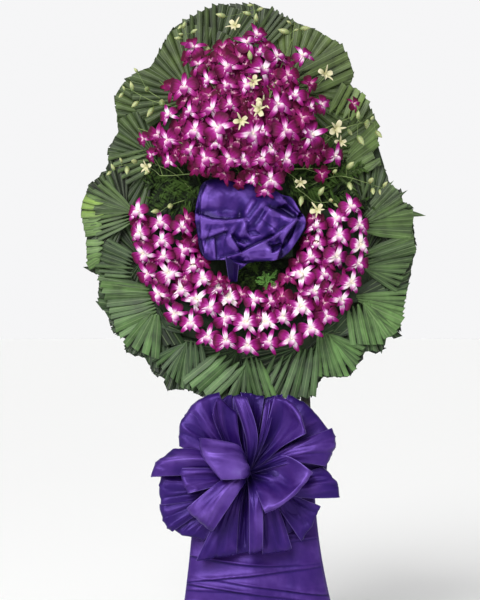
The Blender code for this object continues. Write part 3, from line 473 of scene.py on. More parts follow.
draw = random.Random(21)
for number, (hub_across, hub_up, direction, first, last, layer, tone, slit_first, slit_last) in enumerate(FANS, 1):
    spots = []
    step = FAN_SPREAD / LEAFLETS
    for k in range(-1, 2 * LEAFLETS):
        behind = k % 2  # every second leaflet belongs to the leaf that lies under this one, painted darker as shade
        share = (k / 2 + 0.5) / LEAFLETS
        slit = slit_first + (slit_last - slit_first) * share
        angle = direction + (share - 0.5) * FAN_SPREAD + draw.uniform(-0.8, 0.8) * (1 + 1.6 * slit)
        most = (first + (last - first) * share) * 1.10 * (1 - 0.10 * abs(2 * share - 1) ** 3)
        reach = trimmed_reach((hub_across, hub_up), angle, most) * draw.uniform(0.985, 1.0)
        before = trimmed_reach((hub_across, hub_up), angle - step / 2, most)
        after = trimmed_reach((hub_across, hub_up), angle + step / 2, most)
        wide = 2 * reach * math.tan(math.radians(step / 2)) * 1.04
        slant = max(-0.6, min(0.6, (after - before) / wide))
        cut = min(range(len(SLANTS)), key=lambda i: abs(SLANTS[i] - slant))
        lift = FIRST_LAYER + layer * LAYER_STEP + draw.uniform(0, 0.0014) - UNDER * behind
        roll = draw.uniform(-0.16, 0.16) * (1 + slit)
        shade = min(0.86, max(0.0, tone + draw.uniform(-0.24, 0.24)))
        if slit < SLIT_APART:
            shade = min(0.86, max(0.0, tone + 0.5 * (shade - tone)))
        # the under leaf is painted dark: painted shade in the gaps between slit blades, and on the pleats' shaded
        # faces where the leaf is whole
        if behind:
            shade *= draw.choice((0.05, 0.12, 0.12, 0.45)) if slit > SLIT_APART else draw.uniform(0.60, 0.95)
        else:
            wide *= 1 - 0.34 * slit * draw.uniform(0.6, 1.15)
            reach *= 1 - 0.05 * slit * draw.random()
        turn = Matrix.Rotation(-math.radians(angle), 4, "Y") @ Matrix.Rotation(roll, 4, "X")
        spot = Matrix.Translation((hub_across, -lift, hub_up)) @ turn
        which = cut + len(SLANTS) * (slit > SLIT_APART and not behind)
        spots.append((FRONT @ spot, (reach, PLEAT, wide), which, shade))
    for fan, count, one, two, width, tone, above, pointed in HANDS:
        for k in range(count if fan == number else 0):
            share = k / max(1, count - 1)
            ends = [a + (b - a) * share + draw.uniform(-0.5, 0.5) for a, b in zip(one, two)]
            lift = HAND_LAYER + HAND_STEP * above + draw.uniform(0, 0.0012)
            foot, tip = (INTO_FRONT @ seen(px, py, lift) for px, py in (ends[:2], ends[2:]))
            foot += (foot - tip).normalized() * 0.016
            angle = math.atan2(tip.z - foot.z, tip.x - foot.x)
            run = math.hypot(tip.z - foot.z, tip.x - foot.x)
            reach = run if pointed else trimmed_reach((foot.x, foot.z), math.degrees(angle), run)
            turn = Matrix.Rotation(-angle, 4, "Y") @ Matrix.Rotation(0.05, 4, "Z")
            turn = turn @ Matrix.Rotation(draw.uniform(-0.35, 0.35), 4, "X")
            shade = tone if tone > 0.9 else min(0.88, max(0.05, tone + draw.uniform(-0.11, 0.11)))
            size = (reach, PLEAT, width * PIXEL * draw.uniform(0.85, 1.12))
            spot = FRONT @ Matrix.Translation((foot.x, -lift, foot.z)) @ turn
            spots.append((spot, size, 2 * len(SLANTS) + pointed, shade))
    blades = [leaflet(slant, slit) for slit in (0, 1) for slant in SLANTS] + [blade(pointed) for pointed in (0, 1)]
    kit = [make_piece(f"leaflet_{k:02d}", part) for k, part in enumerate(blades)]
    for piece in kit:
        piece.data.set_sharp_from_angle(angle=math.radians(50))  # cut edges are crisp, the blades flat up to them
    fan = set_out(f"fan_leaf_{number:02d}", kit, palm, spots)
    ride(fan, "palm_leaf", f"palm_fan_{number:02d}")

# Orchid florets: open dendrobium blooms, three narrow sepals, two round petals and a folded lip round a small
# column. Cut single and pinned into the foam along the crescent, and still on their stems in the sprays above.
SEPAL, PETAL, LIP, COLUMN = 0.0, 1.0, 2.0, 3.0  # the mark kind, which the material reads
PETAL_THICK = 0.016  # where half the bloom's width is 1


def petal(kind, degrees, length, width, opening, reflex, phase):
    """A sepal or petal from the bloom's middle: opening is 0 when flat and 90 when closed."""
    aim, lifted = math.radians(degrees), math.radians(opening)
    rows, columns, blunt, power, norm, cup = (6, 4, 0.6, 0.5, 2.13, 0.5)
    if kind == PETAL:
        rows, columns, blunt, power, norm, cup = (7, 6, 0.33, 0.75, 1.99, 0.35)

    def shape(share, across):
        along = 1 - (1 - share) ** 1.5
        wide = width / 2 * norm * (along + 0.02) ** power * (1 - 0.985 * along) ** blunt
        side = wide * across
        wave = 0.035 * math.sin(2.6 * across + 7 * along + phase) * along
        rise = 0.10 * math.sin(math.pi * along) - reflex * along ** 2 + cup * (side ** 2) / width + wave
        out = length * along * math.cos(lifted) - rise * math.sin(lifted)
        return (
            out * math.cos(aim) - side * math.sin(aim),
            -length * along * math.sin(lifted) - rise * math.cos(lifted),
            out * math.sin(aim) + side * math.cos(aim),
        )

    return shell(rows, columns, shape, PETAL_THICK, kind=kind)


def lip(forward, phase):
    """The folded lower petal: a trough round the column that opens into a pointed apron."""

    def shape(along, across):
        wide = 0.15 + 0.10 * math.sin(math.pi * along ** 0.8) - 0.19 * max(0.0, along - 0.70) / 0.30
        side = wide * across
        trough = 0.24 * abs(across) ** 1.6 * (1 - along) ** 0.7
        down = 0.02 + 0.60 * along ** 1.5
        out = 0.05 + forward * math.sin(1.9 * along) + trough + 0.02 * math.sin(5 * across + phase)
        return side, -out, -down + 0.10 * (1 - along)

    return shell(6, 4, shape, PETAL_THICK, kind=LIP)


def tube(rings, sides):
    """The faces round a closed tube of rings, and its two ends."""
    ends = [tuple(range(sides)), tuple(range((rings - 1) * sides, rings * sides))]
    return [*quads(rings - 1, sides, closed=True), *ends]


def column():
    """The short club in the middle of the bloom."""
    points, rings = [], ((0.0, 0.07), (0.10, 0.085), (0.20, 0.075), (0.26, 0.03))
    for out, radius in rings:
        for k in range(6):
            turn = math.tau * k / 6
            points.append(Vector((radius * math.cos(turn), -out, radius * math.sin(turn) + 0.03 + 0.1 * out)))
    none = [0.0] * len(points)
    return points, tube(len(rings), 6), {"along": none, "across": none, "kind": [COLUMN] * len(points)}


def floret(number, opening=0.0):
    """A unit bloom, half its width being 1; each number is a slightly different one."""
    draw = random.Random(100 + number)

    def some(value, by):
        return value + draw.uniform(-by, by)

    parts = []
    narrow = 0.62 if opening > 20 else 1.0
    for degrees, length, width in ((90, 1.10, 0.33), (222, 1.08, 0.34), (318, 1.08, 0.34)):
        tilt = some(opening, 8)
        parts.append(petal(SEPAL, some(degrees, 5), some(length, 0.05), some(width * narrow, 0.03), tilt,
                           some(0.14, 0.1), some(0, 3)))
    for degrees in (17, 163):
        tilt = some(opening * 0.8, 8)
        parts.append(petal(PETAL, some(degrees, 8), some(0.90, 0.06), some(0.80 * narrow, 0.08), tilt,
                           some(0.08, 0.1), some(0, 3)))
    parts.append(lip(some(0.30, 0.05), some(0, 3)))
    parts.append(column())
    return make_piece(f"floret_{number}", gather(parts))


# Dendrobium petal: thin waxy flesh, magenta with a white throat whose white runs out along the veins.
BLOOMS, CREAM = 4, 1.5  # how many open blooms differ, and the tone above which a bloom is cream and half open
orchid, tree, shader = new_finish("dendrobium petal", Roughness=0.60, Specular_IOR_Level=0.12)
along, across, kind, tone = (
    add(tree, "Attribute", out="Fac", attribute_name=mark) for mark in ("along", "across", "kind", "tone"))
drawn_out = add(tree, "Math", {0: along, 1: 0.25}, operation="MULTIPLY")
streak = add(tree, "CombineXYZ", {"X": across, "Y": drawn_out, "Z": tone})
veins = add(tree, "TexNoise", {"Vector": streak, "Scale": 6.0, "Detail": 2.0})
ragged = add(tree, "MapRange", {
    "Value": veins, "From Min": 0.3, "From Max": 0.7, "To Min": -0.14, "To Max": 0.08})
from_middle = add(tree, "Math", {0: along, 1: ragged}, operation="ADD")
is_petal = add(tree, "Math", {0: kind, 1: PETAL, 2: 0.2}, operation="COMPARE")
less_white = add(tree, "Math", {0: is_petal, 1: 0.23, 2: from_middle}, operation="MULTIPLY_ADD")
darker = add(tree, "Math", {0: tone, 1: 0.30, 2: less_white}, operation="MULTIPLY_ADD")
flesh = add(tree, "ValToRGB", {"Fac": darker}, stops=(
    (0.04, "#e8dfd0"), (0.30, "#ead6e6"), (0.43, "#b95fa4"), (0.55, "#8a1270"), (0.82, "#6c0c4a"), (1, "#4a0a2c")))
is_lip = add(tree, "Math", {0: kind, 1: LIP, 2: 0.2}, operation="COMPARE")
lip_part = add(tree, "Math", {0: tone, 1: 0.40, 2: along}, operation="MULTIPLY_ADD")
throat = add(tree, "ValToRGB", {"Fac": lip_part}, stops=(
    (0, "#e6dcc4"), (0.30, "#ddccd6"), (0.52, "#c088b0"), (0.72, "#841b70"), (1, "#6a1050")))
with_lip = add(tree, "Mix", {"Factor": is_lip, 6: flesh, 7: throat}, out=2, data_type="RGBA")
# darker tones turn plum: the deeper colour of the cluster's blooms, and painted shade on the dark florets set back
# behind the others
plum_and_shade = add(tree, "MapRange", {
    "Value": tone, "From Min": 0.40, "From Max": 1.0, "To Min": 0.0, "To Max": 0.55})
deep = add(tree, "Mix", {"Factor": plum_and_shade, 6: with_lip, 7: hex_colour("#e89a9c")}, out=2, data_type="RGBA",
           blend_type="MULTIPLY")
is_cream = add(tree, "Math", {0: tone, 1: CREAM}, operation="GREATER_THAN")
cream = add(tree, "ValToRGB", {"Fac": from_middle}, stops=((0, "#b7b482"), (1, "#d3caae")))
coloured = add(tree, "Mix", {"Factor": is_cream, 6: deep, 7: cream}, out=2, data_type="RGBA")
rough = add(tree, "Bump", {"Height": veins, "Strength": 0.3, "Distance": 0.001})
add(tree, shader, {"Base Color": coloured, "Normal": rough})

# Flower stem: smooth green stalk, mottled from dark to pale green.
stalk, tree, shader = new_finish("dendrobium stem", Roughness=0.5)
places = add(tree, "TexCoord", out="Object")
patches = add(tree, "TexNoise", {"Vector": places, "Scale": 60.0, "Detail": 2.0})
flush = add(tree, "ValToRGB", {"Fac": patches}, stops=((0, "#3b5222"), (1, "#7d8f4e")))
add(tree, shader, {"Base Color": flush})


def facing(place, look, roll):
    """The matrix of a bloom at a place of the world: it looks that way, its top sepal up and then rolled."""
    back = -look.normalized()
    up = Vector((0, 0, 1)) - back * back.z
    up.rotate(Matrix.Rotation(math.radians(roll), 3, back))
    up.normalize()
    return Matrix.Translation(place) @ Matrix((back.cross(up), back, up)).transposed().to_4x4()


def smooth_path(stations, steps):
    """A curve through stations, as points."""
    points = []
    padded = [stations[0] * 2 - stations[1]] + list(stations) + [stations[-1] * 2 - stations[-2]]
    for a, b, c, d in zip(padded, padded[1:], padded[2:], padded[3:]):
        for k in range(steps):
            t = k / steps
            points.append(0.5 * (2 * b + (c - a) * t + (2 * a - 5 * b + 4 * c - d) * t * t
                                 + (3 * b - a - 3 * c + d) * t ** 3))
    return points + [stations[-1].copy()]


def rod(path, thick, thin, sides):
    """A closed round stem along a path, tapering from thick to thin."""
    points, last = [], len(path) - 1
    tangents = [(path[min(i + 1, last)] - path[max(i - 1, 0)]).normalized() for i in range(last + 1)]
    normal = tangents[0].orthogonal().normalized()
    for i, point in enumerate(path):
        if i:
            normal.rotate(tangents[i - 1].rotation_difference(tangents[i]))
        radius = thick + (thin - thick) * i / last
        for k in range(sides):
            turn = math.tau * k / sides
            points.append(point + radius * (math.cos(turn) * normal + math.sin(turn) * tangents[i].cross(normal)))
    return points, tube(len(path), sides), {}


def pedicel(foot, back, look):
    """The thin stalk of a bloom, from its foot round to the bloom's back."""
    return rod(smooth_path([foot, (foot + back) / 2 - look * 0.006, back], 4), thick=0.0012, thin=0.0009, sides=4)


# Crescent: single florets pinned close together into the foam, each by its own stalk: where the picture shows
# them, and ones behind in three rows on half ellipses, so that they cover the foam, darkened as painted shade.
PAD_FRONT, CRESCENT_DROP = 0.0703, 0.014
BLOOMS_OUT, HIDDEN_OUT, HIDDEN_GAP = 0.100, 0.088, 0.021
ROWS = ((0.297, 0.378, 20), (0.235, 0.316, 16), (0.173, 0.254, 12))  # half width and half height, how many florets
OUT = TURN @ Vector((0, -1, 0))
# middle in pixels, width in pixels, how far its colour runs to the middle (below 0 mostly white)
CRESCENT = (
    (138, 212, 23, 0.0), (160, 223, 25, 0.1), (182, 228, 24, 0.35), (140, 233, 23, -0.1), (162, 241, 24, 0.1),
    (184, 250, 24, 0.4), (144, 254, 25, 0.0), (164, 257, 24, 0.2), (193, 266, 24, 0.1), (148, 274, 24, 0.5),
    (169, 274, 26, -0.25), (203, 279, 24, -0.1), (159, 294, 24, 0.0), (181, 290, 26, -0.1), (196, 300, 26, -0.3),
    (175, 313, 24, 0.0), (191, 323, 24, 0.1), (218, 289, 25, 0.1), (229, 298, 24, -0.4), (210, 308, 24, 0.2),
    (226, 318, 25, 0.2), (208, 337, 24, 0.15), (226, 341, 24, 0.1), (246, 323, 28, -0.3), (248, 345, 25, 0.1),
    (255, 300, 23, 0.1), (269, 342, 25, 0.3), (266, 322, 25, -0.4), (271, 302, 21, 0.5), (282, 297, 22, 0.9),
    (283, 317, 22, -0.1), (291, 339, 26, -0.1), (301, 307, 28, -0.35), (311, 328, 25, 0.0), (314, 292, 24, 0.1),
    (327, 316, 23, 0.4), (341, 300, 24, 0.1), (325, 303, 22, 0.9), (302, 275, 26, -0.3), (324, 275, 25, 0.35),
    (351, 283, 25, -0.35), (311, 257, 24, 0.2), (336, 257, 25, 0.0), (358, 264, 25, 0.3), (317, 243, 20, 0.0),
    (339, 236, 25, -0.1), (360, 245, 23, -0.5), (316, 227, 24, 0.2), (337, 219, 23, 0.1), (359, 225, 23, 0.1),
    (318, 211, 17, 2.0), (351, 207, 24, 0.2), (219, 281, 20, 0.9), (329, 289, 20, 0.6),
)
sites = []
for px, py, width, tone in CRESCENT:
    flat = INTO_FRONT @ seen(px, py, BLOOMS_OUT)
    sites.append((flat.x, flat.z, width * PIXEL / 2, tone, BLOOMS_OUT))
for wide, tall, count in ROWS:
    for k in range(count):
        turn = math.radians(184 + 172 * (k + 0.5) / count)
        across, up = wide * math.cos(turn), tall * math.sin(turn) - CRESCENT_DROP
        if min(math.hypot(across - site[0], up - site[1]) for site in sites) > HIDDEN_GAP:
            # the florets behind get a dark tone: painted shade
            sites.append((across, up, 0.030, 0.8, HIDDEN_OUT))
draw = random.Random(11)
bands = {k: ([], []) for k in range(6)}
for across, up, half, tone, out in sites:
    turn = math.atan2(up + CRESCENT_DROP, across)
    band = min(5, max(0, int((math.degrees(turn) % 360 - 183) / 29)))
    away = TURN @ Vector((math.cos(turn), 0, math.sin(turn)))
    from_mid = math.hypot(across / ROWS[1][0], (up + CRESCENT_DROP) / ROWS[1][1]) - 1
    tilt = Vector((draw.uniform(-0.25, 0.25), 0, draw.uniform(-0.25, 0.25)))
    look = (OUT + 1.5 * from_mid * away + tilt).normalized()
    place = on_front(across, out + draw.uniform(-0.006, 0.006), up)
    roll = draw.choice((-35, -15, 0, 0, 15, 35)) + draw.uniform(-10, 10)
    which = draw.randrange(BLOOMS) + BLOOMS * (tone > CREAM)
    shade = tone + draw.uniform(-0.06, 0.06)
    bands[band][0].append((facing(place, look, roll), (half * draw.uniform(1.06, 1.18),) * 3, which, shade))
    foot = on_front(across * 0.99, PAD_FRONT - 0.004, up)
    bands[band][1].append(pedicel(foot, place - look * 0.001, look))


def floret_kit():
    """Open blooms, and as many half open ones."""
    return [floret(k) for k in range(BLOOMS)] + [floret(k, opening=42) for k in range(BLOOMS, 2 * BLOOMS)]


for band, (spots, stalks) in bands.items():
    rest = make_piece("stalks", gather(stalks), stalk)
    piece = set_out(f"crescent_{band + 1}", floret_kit(), orchid, spots, rest)
    ride(piece, "orchid_petal", f"floret_band_{band + 1}")

# Upper cluster: cut dendrobium sprays stuck into the foam block and fanned over a dome, with open florets along
# each stem, half open cream ones among them and pale closed buds at the tips.
FAN_POINT, BLOCK_FRONT = (-0.013, 0.059), 0.0853
DOME_MIDDLE, DOME_HALF = (-0.013, 0.230), (0.290, 0.268)
SHORT = 9  # the sprays from this one on are short, fill the middle and are one piece
SPRAYS = (  # direction, length, how far it stands proud of the dome
    (180, 0.230, 0), (156, 0.315, 0.018), (132, 0.345, 0), (110, 0.385, 0.018), (90, 0.400, 0),
    (71, 0.390, 0.018), (51, 0.355, 0), (29, 0.330, 0.018), (5, 0.250, 0), (152, 0.125, 0.012),
    (95, 0.140, 0.006), (38, 0.125, 0.012), (-42, 0.085, 0.030),
)
# middle in pixels, width in pixels, tone: below 0 mostly white, near 1 dark, 2 cream and half open; the dark ones
# above 0.85 are set back, their darkness partly deeper colour and partly painted shade
CLUSTER = (
    (193, 48, 26, 0.5), (228, 67, 28, 0.4), (223, 49, 24, 0.9), (248, 43, 26, 0.45), (257, 36, 24, 0.4),
    (263, 70, 32, 0.2), (277, 57, 26, 0.45), (260, 53, 20, 0.5), (303, 56, 22, 0.1), (198, 65, 22, 0.6),
    (208, 80, 20, 0.2), (185, 88, 30, 0.4), (172, 89, 24, 0.95), (227, 86, 22, 0.5), (247, 85, 22, 0.0),
    (295, 96, 24, 0.3), (278, 105, 30, 0.25), (212, 110, 28, 0.45), (190, 112, 22, 0.25), (230, 105, 22, 0.5),
    (169, 115, 20, -0.1), (195, 131, 28, 0.3), (219, 128, 32, 0.2), (252, 134, 32, 0.2), (263, 131, 18, 0.2),
    (286, 131, 30, 0.4), (311, 135, 30, 0.15), (303, 118, 24, 0.8), (310, 108, 20, 0.5), (322, 104, 20, 0.5),
    (158, 135, 22, 0.5), (168, 140, 26, 0.4), (144, 139, 16, 0.7), (152, 155, 16, 0.5), (169, 161, 18, 0.2),
    (190, 150, 20, 0.5), (206, 159, 28, 0.4), (216, 143, 20, 0.25), (230, 159, 26, 0.4), (243, 160, 20, 0.2),
    (262, 159, 26, 0.4), (271, 150, 18, 0.0), (286, 159, 28, 0.35), (335, 156, 24, 0.3), (354, 104, 16, 0.9),
    (322, 174, 18, 0.9), (271, 180, 26, 0.2), (265, 190, 20, 0.4), (252, 180, 14, 0.0), (209, 96, 24, 0.9),
    (235, 27, 17, 2), (324, 75, 18, 2), (254, 82, 16, 2), (263, 102, 16, 2), (259, 110, 17, 2),
    (241, 121, 17, 2), (340, 142, 14, 2), (335, 129, 19, 2), (148, 167, 15, 2), (300, 182, 14, 2),
    (197, 100, 24, 0.9), (240, 58, 24, 0.9), (270, 88, 26, 0.95), (288, 76, 24, 0.8), (310, 84, 18, 0.9),
    (203, 120, 24, 1.0), (236, 112, 24, 1.0), (268, 120, 26, 1.0), (294, 140, 26, 1.0), (238, 142, 26, 1.0),
    (180, 128, 24, 0.95), (180, 150, 22, 0.95), (198, 168, 22, 1.0), (250, 170, 24, 1.0), (277, 143, 22, 0.95),
    (300, 108, 20, 0.95), (322, 150, 20, 1.0), (224, 174, 22, 1.0), (240, 182, 16, 1.0), (243, 72, 22, 0.95),
    (212, 62, 20, 0.95),
)


def dome(across, up):
    """How far out the dome of the upper cluster stands at a place of the front."""
    aside, above = (across - DOME_MIDDLE[0]) / DOME_HALF[0], (up - DOME_MIDDLE[1]) / DOME_HALF[1]
    return 0.095 + 0.115 * max(0.0, 1 - aside ** 2 - above ** 2)


def spray_path(direction, length, proud):
    """A stem's stations on the front: out of the foam, up to the dome and along beneath its surface."""
    turn = math.radians(direction)
    root = min(0.066, length * 0.15)
    reaches = [(root, BLOCK_FRONT - 0.028), (root, BLOCK_FRONT + 0.002), (root, BLOCK_FRONT + 0.012)]
    for k in range(1, 7):
        radius = root + (length - root) * k / 6
        across, up = FAN_POINT[0] + radius * math.cos(turn), FAN_POINT[1] + radius * math.sin(turn)
        rise = min(1.0, 0.55 + 0.45 * k / 2)
        reaches.append((radius, max(0.084, BLOCK_FRONT + (dome(across, up) + proud - 0.026 - BLOCK_FRONT) * rise)))
    return [on_front(FAN_POINT[0] + r * math.cos(turn), out, FAN_POINT[1] + r * math.sin(turn)) for r, out in reaches]


def on_dome(px, py, proud=0.0):
    """The place of the dome that shows at a pixel, as across and up of the front, and in the world."""
    place = seen(px, py, 0.15)
    for _ in range(4):
        flat = INTO_FRONT @ place
        place = seen(px, py, dome(flat.x, flat.z) + proud)
    return flat.x, flat.z, place


draw = random.Random(5)
stems = [smooth_path(spray_path(*spray), 4) for spray in SPRAYS]
sprays = {k: ([], []) for k in range(SHORT + 1)}
for k, stem in enumerate(stems):
    sprays[min(k, SHORT)][1].append(rod(stem, thick=0.0024, thin=0.0012, sides=6))
# where florets behind those of the picture fill the cluster, painted dark as shade, as corners in pixels
REGION = (
    (190, 44), (199, 42), (203, 60), (212, 62), (216, 50), (232, 52), (243, 38), (257, 32), (270, 50), (286, 54),
    (294, 62), (292, 84), (304, 96), (320, 104), (312, 124), (322, 140), (330, 154), (312, 160), (296, 158),
    (276, 182), (256, 176), (236, 166), (200, 168), (184, 158), (160, 154), (162, 140), (180, 128), (184, 108),
    (170, 96), (172, 86), (192, 78),
)
blooms = list(CLUSTER)


def within(px, py, region):
    """Whether a pixel lies within a region that is given by its corners."""
    inside = False
    for (ax, ay), (bx, by) in zip(region, region[1:] + region[:1]):
        if (ay > py) != (by > py) and px < ax + (bx - ax) * (py - ay) / (by - ay):
            inside = not inside
    return inside


for row in range(18):
    for k in range(20):
        px, py = 146 + 10 * k + 5 * (row % 2), 30 + 9 * row
        if within(px, py, REGION) and min(math.hypot(px - b[0], py - b[1]) for b in blooms) > 6.5:
            blooms.append((px, py, 22, 0.98))
for px, py, width, tone in blooms:
    # dark florets are set back behind the others; their dark tone is painted shade
    behind = 0.018 if 0.85 < tone < CREAM else 0.0
    across, up, place = on_dome(px, py, draw.uniform(-0.004, 0.010) - behind)
    radius = math.hypot(across - FAN_POINT[0], up - FAN_POINT[1])
    degrees = math.degrees(math.atan2(up - FAN_POINT[1], across - FAN_POINT[0]))
    reached = range(SHORT, len(SPRAYS)) if radius < 0.135 or -165 < degrees < -15 else range(SHORT)
    near = min(reached, key=lambda k: abs((SPRAYS[k][0] - degrees + 180) % 360 - 180))
    stem, length = stems[near], SPRAYS[near][1]
    share = min(1.0, max(0.2, (radius - 0.030) / length))
    foot = stem[int(share * (len(stem) - 1))]
    slope = Vector(((across - DOME_MIDDLE[0]) * 2.2, 0, (up - DOME_MIDDLE[1]) * 2.2))
    tilt = Vector((draw.uniform(-0.3, 0.3), 0, draw.uniform(-0.3, 0.2)))
    look = (OUT + TURN @ slope + tilt).normalized()
    roll = draw.choice((-60, -30, 0, 0, 0, 30, 60)) + draw.uniform(-15, 15)
    which = draw.randrange(BLOOMS) + BLOOMS * (tone > CREAM)
    half = width * PIXEL / 2 * 1.12
    shade = tone if tone > CREAM else 0.10 + 0.84 * tone + draw.uniform(-0.06, 0.06)
    held = sprays[min(near, SHORT)]
    held[0].append((facing(place, look, roll), (half,) * 3, which, shade))
    held[1].append(pedicel(foot, place - look * 0.001, look))

# Buds: closed dendrobium buds, waxy, pale green going to cream, with a small spur, on thin stalks of their own
# along the tips of the sprays and on slender twigs that reach past the flowers.
bud_skin, tree, shader = new_finish("dendrobium bud", Roughness=0.42, Subsurface_Weight=0.08)
along = add(tree, "Attribute", out="Fac", attribute_name="along")
places = add(tree, "TexCoord", out="Object")
patches = add(tree, "TexNoise", {"Vector": places, "Scale": 90.0, "Detail": 2.0})
blend = add(tree, "Math", {0: patches, 1: 0.5, 2: along}, operation="MULTIPLY_ADD")
skin = add(tree, "ValToRGB", {"Fac": blend}, stops=((0.2, "#5c7038"), (0.9, "#a0a873")))
add(tree, shader, {"Base Color": skin})


def closed_bud():
    """A unit bud along +X: a spur at the stalk, a full body and a pointed, slightly bent tip."""
    points, along = [], []
    rings = ((0.0, 0.05), (0.10, 0.16), (0.28, 0.24), (0.50, 0.25), (0.72, 0.18), (0.90, 0.08), (1.0, 0.015))
    for run, radius in rings:
        bend = -0.10 * run * run
        for side in range(8):
            turn = math.tau * side / 8
            crease = 1 - 0.10 * (side % 2)
            points.append(Vector((run, radius * crease * math.cos(turn), radius * crease * math.sin(turn) + bend)))
            along.append(run)
    return make_piece("bud", (points, tube(len(rings), 8), {"along": along}))


BUD = 2 * BLOOMS  # its number after those of the blooms
BUD_UNIT = 0.0013  # the step in metres in which the lengths of buds are given
# spray or twig, stem in pixels, depths of its first and last point, buds as pixel and length in those units
BUD_STEMS = (
    ("spray", 4, ((190, 62), (188, 48), (187, 38), (184, 28), (180, 24)), 0.115, 0.112,
     ((184, 25, 17), (178, 38, 16), (180, 27, 15), (194, 31, 17), (181, 34, 12))),
    ("spray", 4, ((214, 62), (211, 56), (209, 50)), 0.125, 0.130, ((208, 50, 26),)),
    ("spray", 5, ((250, 40), (254, 26), (255, 15), (253, 4)), 0.125, 0.112,
     ((247, 13, 20), (256, 18, 20), (260, 9, 16), (250, 5, 13), (221, 15, 22))),
    ("spray", 5, ((252, 68), (251, 62), (250, 56)), 0.19, 0.205, ((250, 55, 22),)),
    ("spray", 7, ((290, 56), (291, 48), (293, 38), (294, 28), (295, 22)), 0.125, 0.112,
     ((284, 31, 26), (305, 28, 22), (296, 30, 13), (289, 22, 12))),
    ("spray", 1, ((172, 106), (160, 103), (150, 100), (138, 94), (131, 90), (124, 88)), 0.12, 0.105,
     ((132, 86, 20), (121, 95, 15), (135, 104, 20), (150, 112, 24), (162, 102, 28), (124, 88, 12))),
    ("spray", 2, ((160, 98), (150, 92), (145, 86), (138, 73)), 0.118, 0.105, ((147, 89, 24), (136, 70, 13))),
    ("twig", 1, ((196, 196), (180, 178), (160, 166), (143, 160), (128, 164), (113, 167)), 0.066, 0.098,
     ((134, 161, 21), (127, 170, 21), (113, 167, 17), (109, 173, 14), (147, 172, 18), (121, 160, 13))),
    ("twig", 1, ((186, 200), (176, 203), (167, 207), (160, 212)), 0.07, 0.098, ((170, 206, 24), (155, 211, 20))),
    ("spray", 9, ((318, 148), (330, 138), (345, 128), (362, 123), (374, 122)), 0.13, 0.105,
     ((361, 140, 25), (367, 124, 24), (379, 134, 20), (358, 115, 20), (350, 132, 18), (372, 118, 12))),
    ("twig", 2, ((296, 193), (318, 182), (340, 176), (364, 182), (376, 186), (384, 188)), 0.066, 0.098,
     ((350, 165, 24), (371, 180, 22), (350, 186, 24), (373, 191, 20), (385, 184, 16), (335, 171, 18),
      (380, 192, 13))),
    ("twig", 3, ((293, 178), (297, 188), (306, 195), (315, 202), (328, 202), (333, 199)), 0.10, 0.098,
     ((301, 201, 24), (321, 191, 22), (331, 200, 18), (312, 211, 16), (336, 205, 13))),
)
twigs = {k: ([], []) for k in (1, 2, 3)}
for owner, number, stations, first, last, buds in BUD_STEMS:
    count = len(stations) - 1
    stem = smooth_path([seen(px, py, first + (last - first) * k / count) for k, (px, py) in enumerate(stations)], 4)
    holder = twigs[number] if owner == "twig" else sprays[number - 1]
    holder[1].append(rod(stem, thick=0.0014, thin=0.0007, sides=5))
    for px, py, units in buds:
        long = units * BUD_UNIT
        middle = seen(px, py, last + draw.uniform(-0.004, 0.006))
        near = min(stem, key=lambda point: (point - middle).length)
        aim = (middle - near).normalized() if (middle - near).length > 0.004 else TURN @ Vector((0, -0.3, 1))
        aim = (aim + OUT * 0.25 + (stem[-1] - stem[0]).normalized() * 0.5).normalized()
        foot = middle - aim * long * 0.5
        way = smooth_path([near, (near + foot) / 2 + Vector((0, 0, -0.002)), foot + aim * 0.001], 3)
        holder[1].append(rod(way, thick=0.0008, thin=0.0007, sides=4))
        spot = Matrix.Translation(foot) @ aim.to_track_quat("X", "Z").to_matrix().to_4x4()
        holder[0].append((spot, (long,) * 3, 0 if owner == "twig" else BUD, 0.0))
for k, (spots, stalks) in sprays.items():
    rest = make_piece("stems", gather(stalks), stalk)
    opened = set_out(f"spray_{k + 1:02d}", floret_kit(), orchid, [s for s in spots if s[2] < BUD], rest)
    ride(opened, "orchid_petal", f"orchid_spray_{k + 1:02d}")
    closed = [(matrix, size, 0, tone) for matrix, size, which, tone in spots if which == BUD]
    if closed:
        ride(set_out(f"spray_{k + 1:02d}_buds", [closed_bud()], bud_skin, closed), "orchid_bud")
for number, (spots, stalks) in twigs.items():
    rest = make_piece("stems", gather(stalks), stalk)
    ride(set_out(f"twig_{number}", [closed_bud()], bud_skin, spots, rest), "orchid_bud", f"bud_twig_{number}")

# Ferns: fine dark asparagus greenery tucked in round the satin, each frond a thin rib with needle leaflets.
fern_green, tree, shader = new_finish("asparagus fern", Roughness=0.7, Specular_IOR_Level=0.15)
along, tone = (add(tree, "Attribute", out="Fac", attribute_name=mark) for mark in ("along", "tone"))
places = add(tree, "TexCoord", out="Object")
patches = add(tree, "TexNoise", {"Vector": places, "Scale": 45.0, "Detail": 2.0})
mixed = add(tree, "Math", {0: patches, 1: tone}, operation="ADD")
leafy = add(tree, "Math", {0: along, 1: 0.25, 2: mixed}, operation="MULTIPLY_ADD")
half = add(tree, "Math", {0: leafy, 1: 0.5}, operation="MULTIPLY")
greens = add(tree, "ValToRGB", {"Fac": half}, stops=(
    (0.15, "#060c03"), (0.33, "#0c1606"), (0.46, "#33491a"), (0.60, "#33491a"), (0.95, "#5f9142")))
add(tree, shader, {"Base Color": greens})


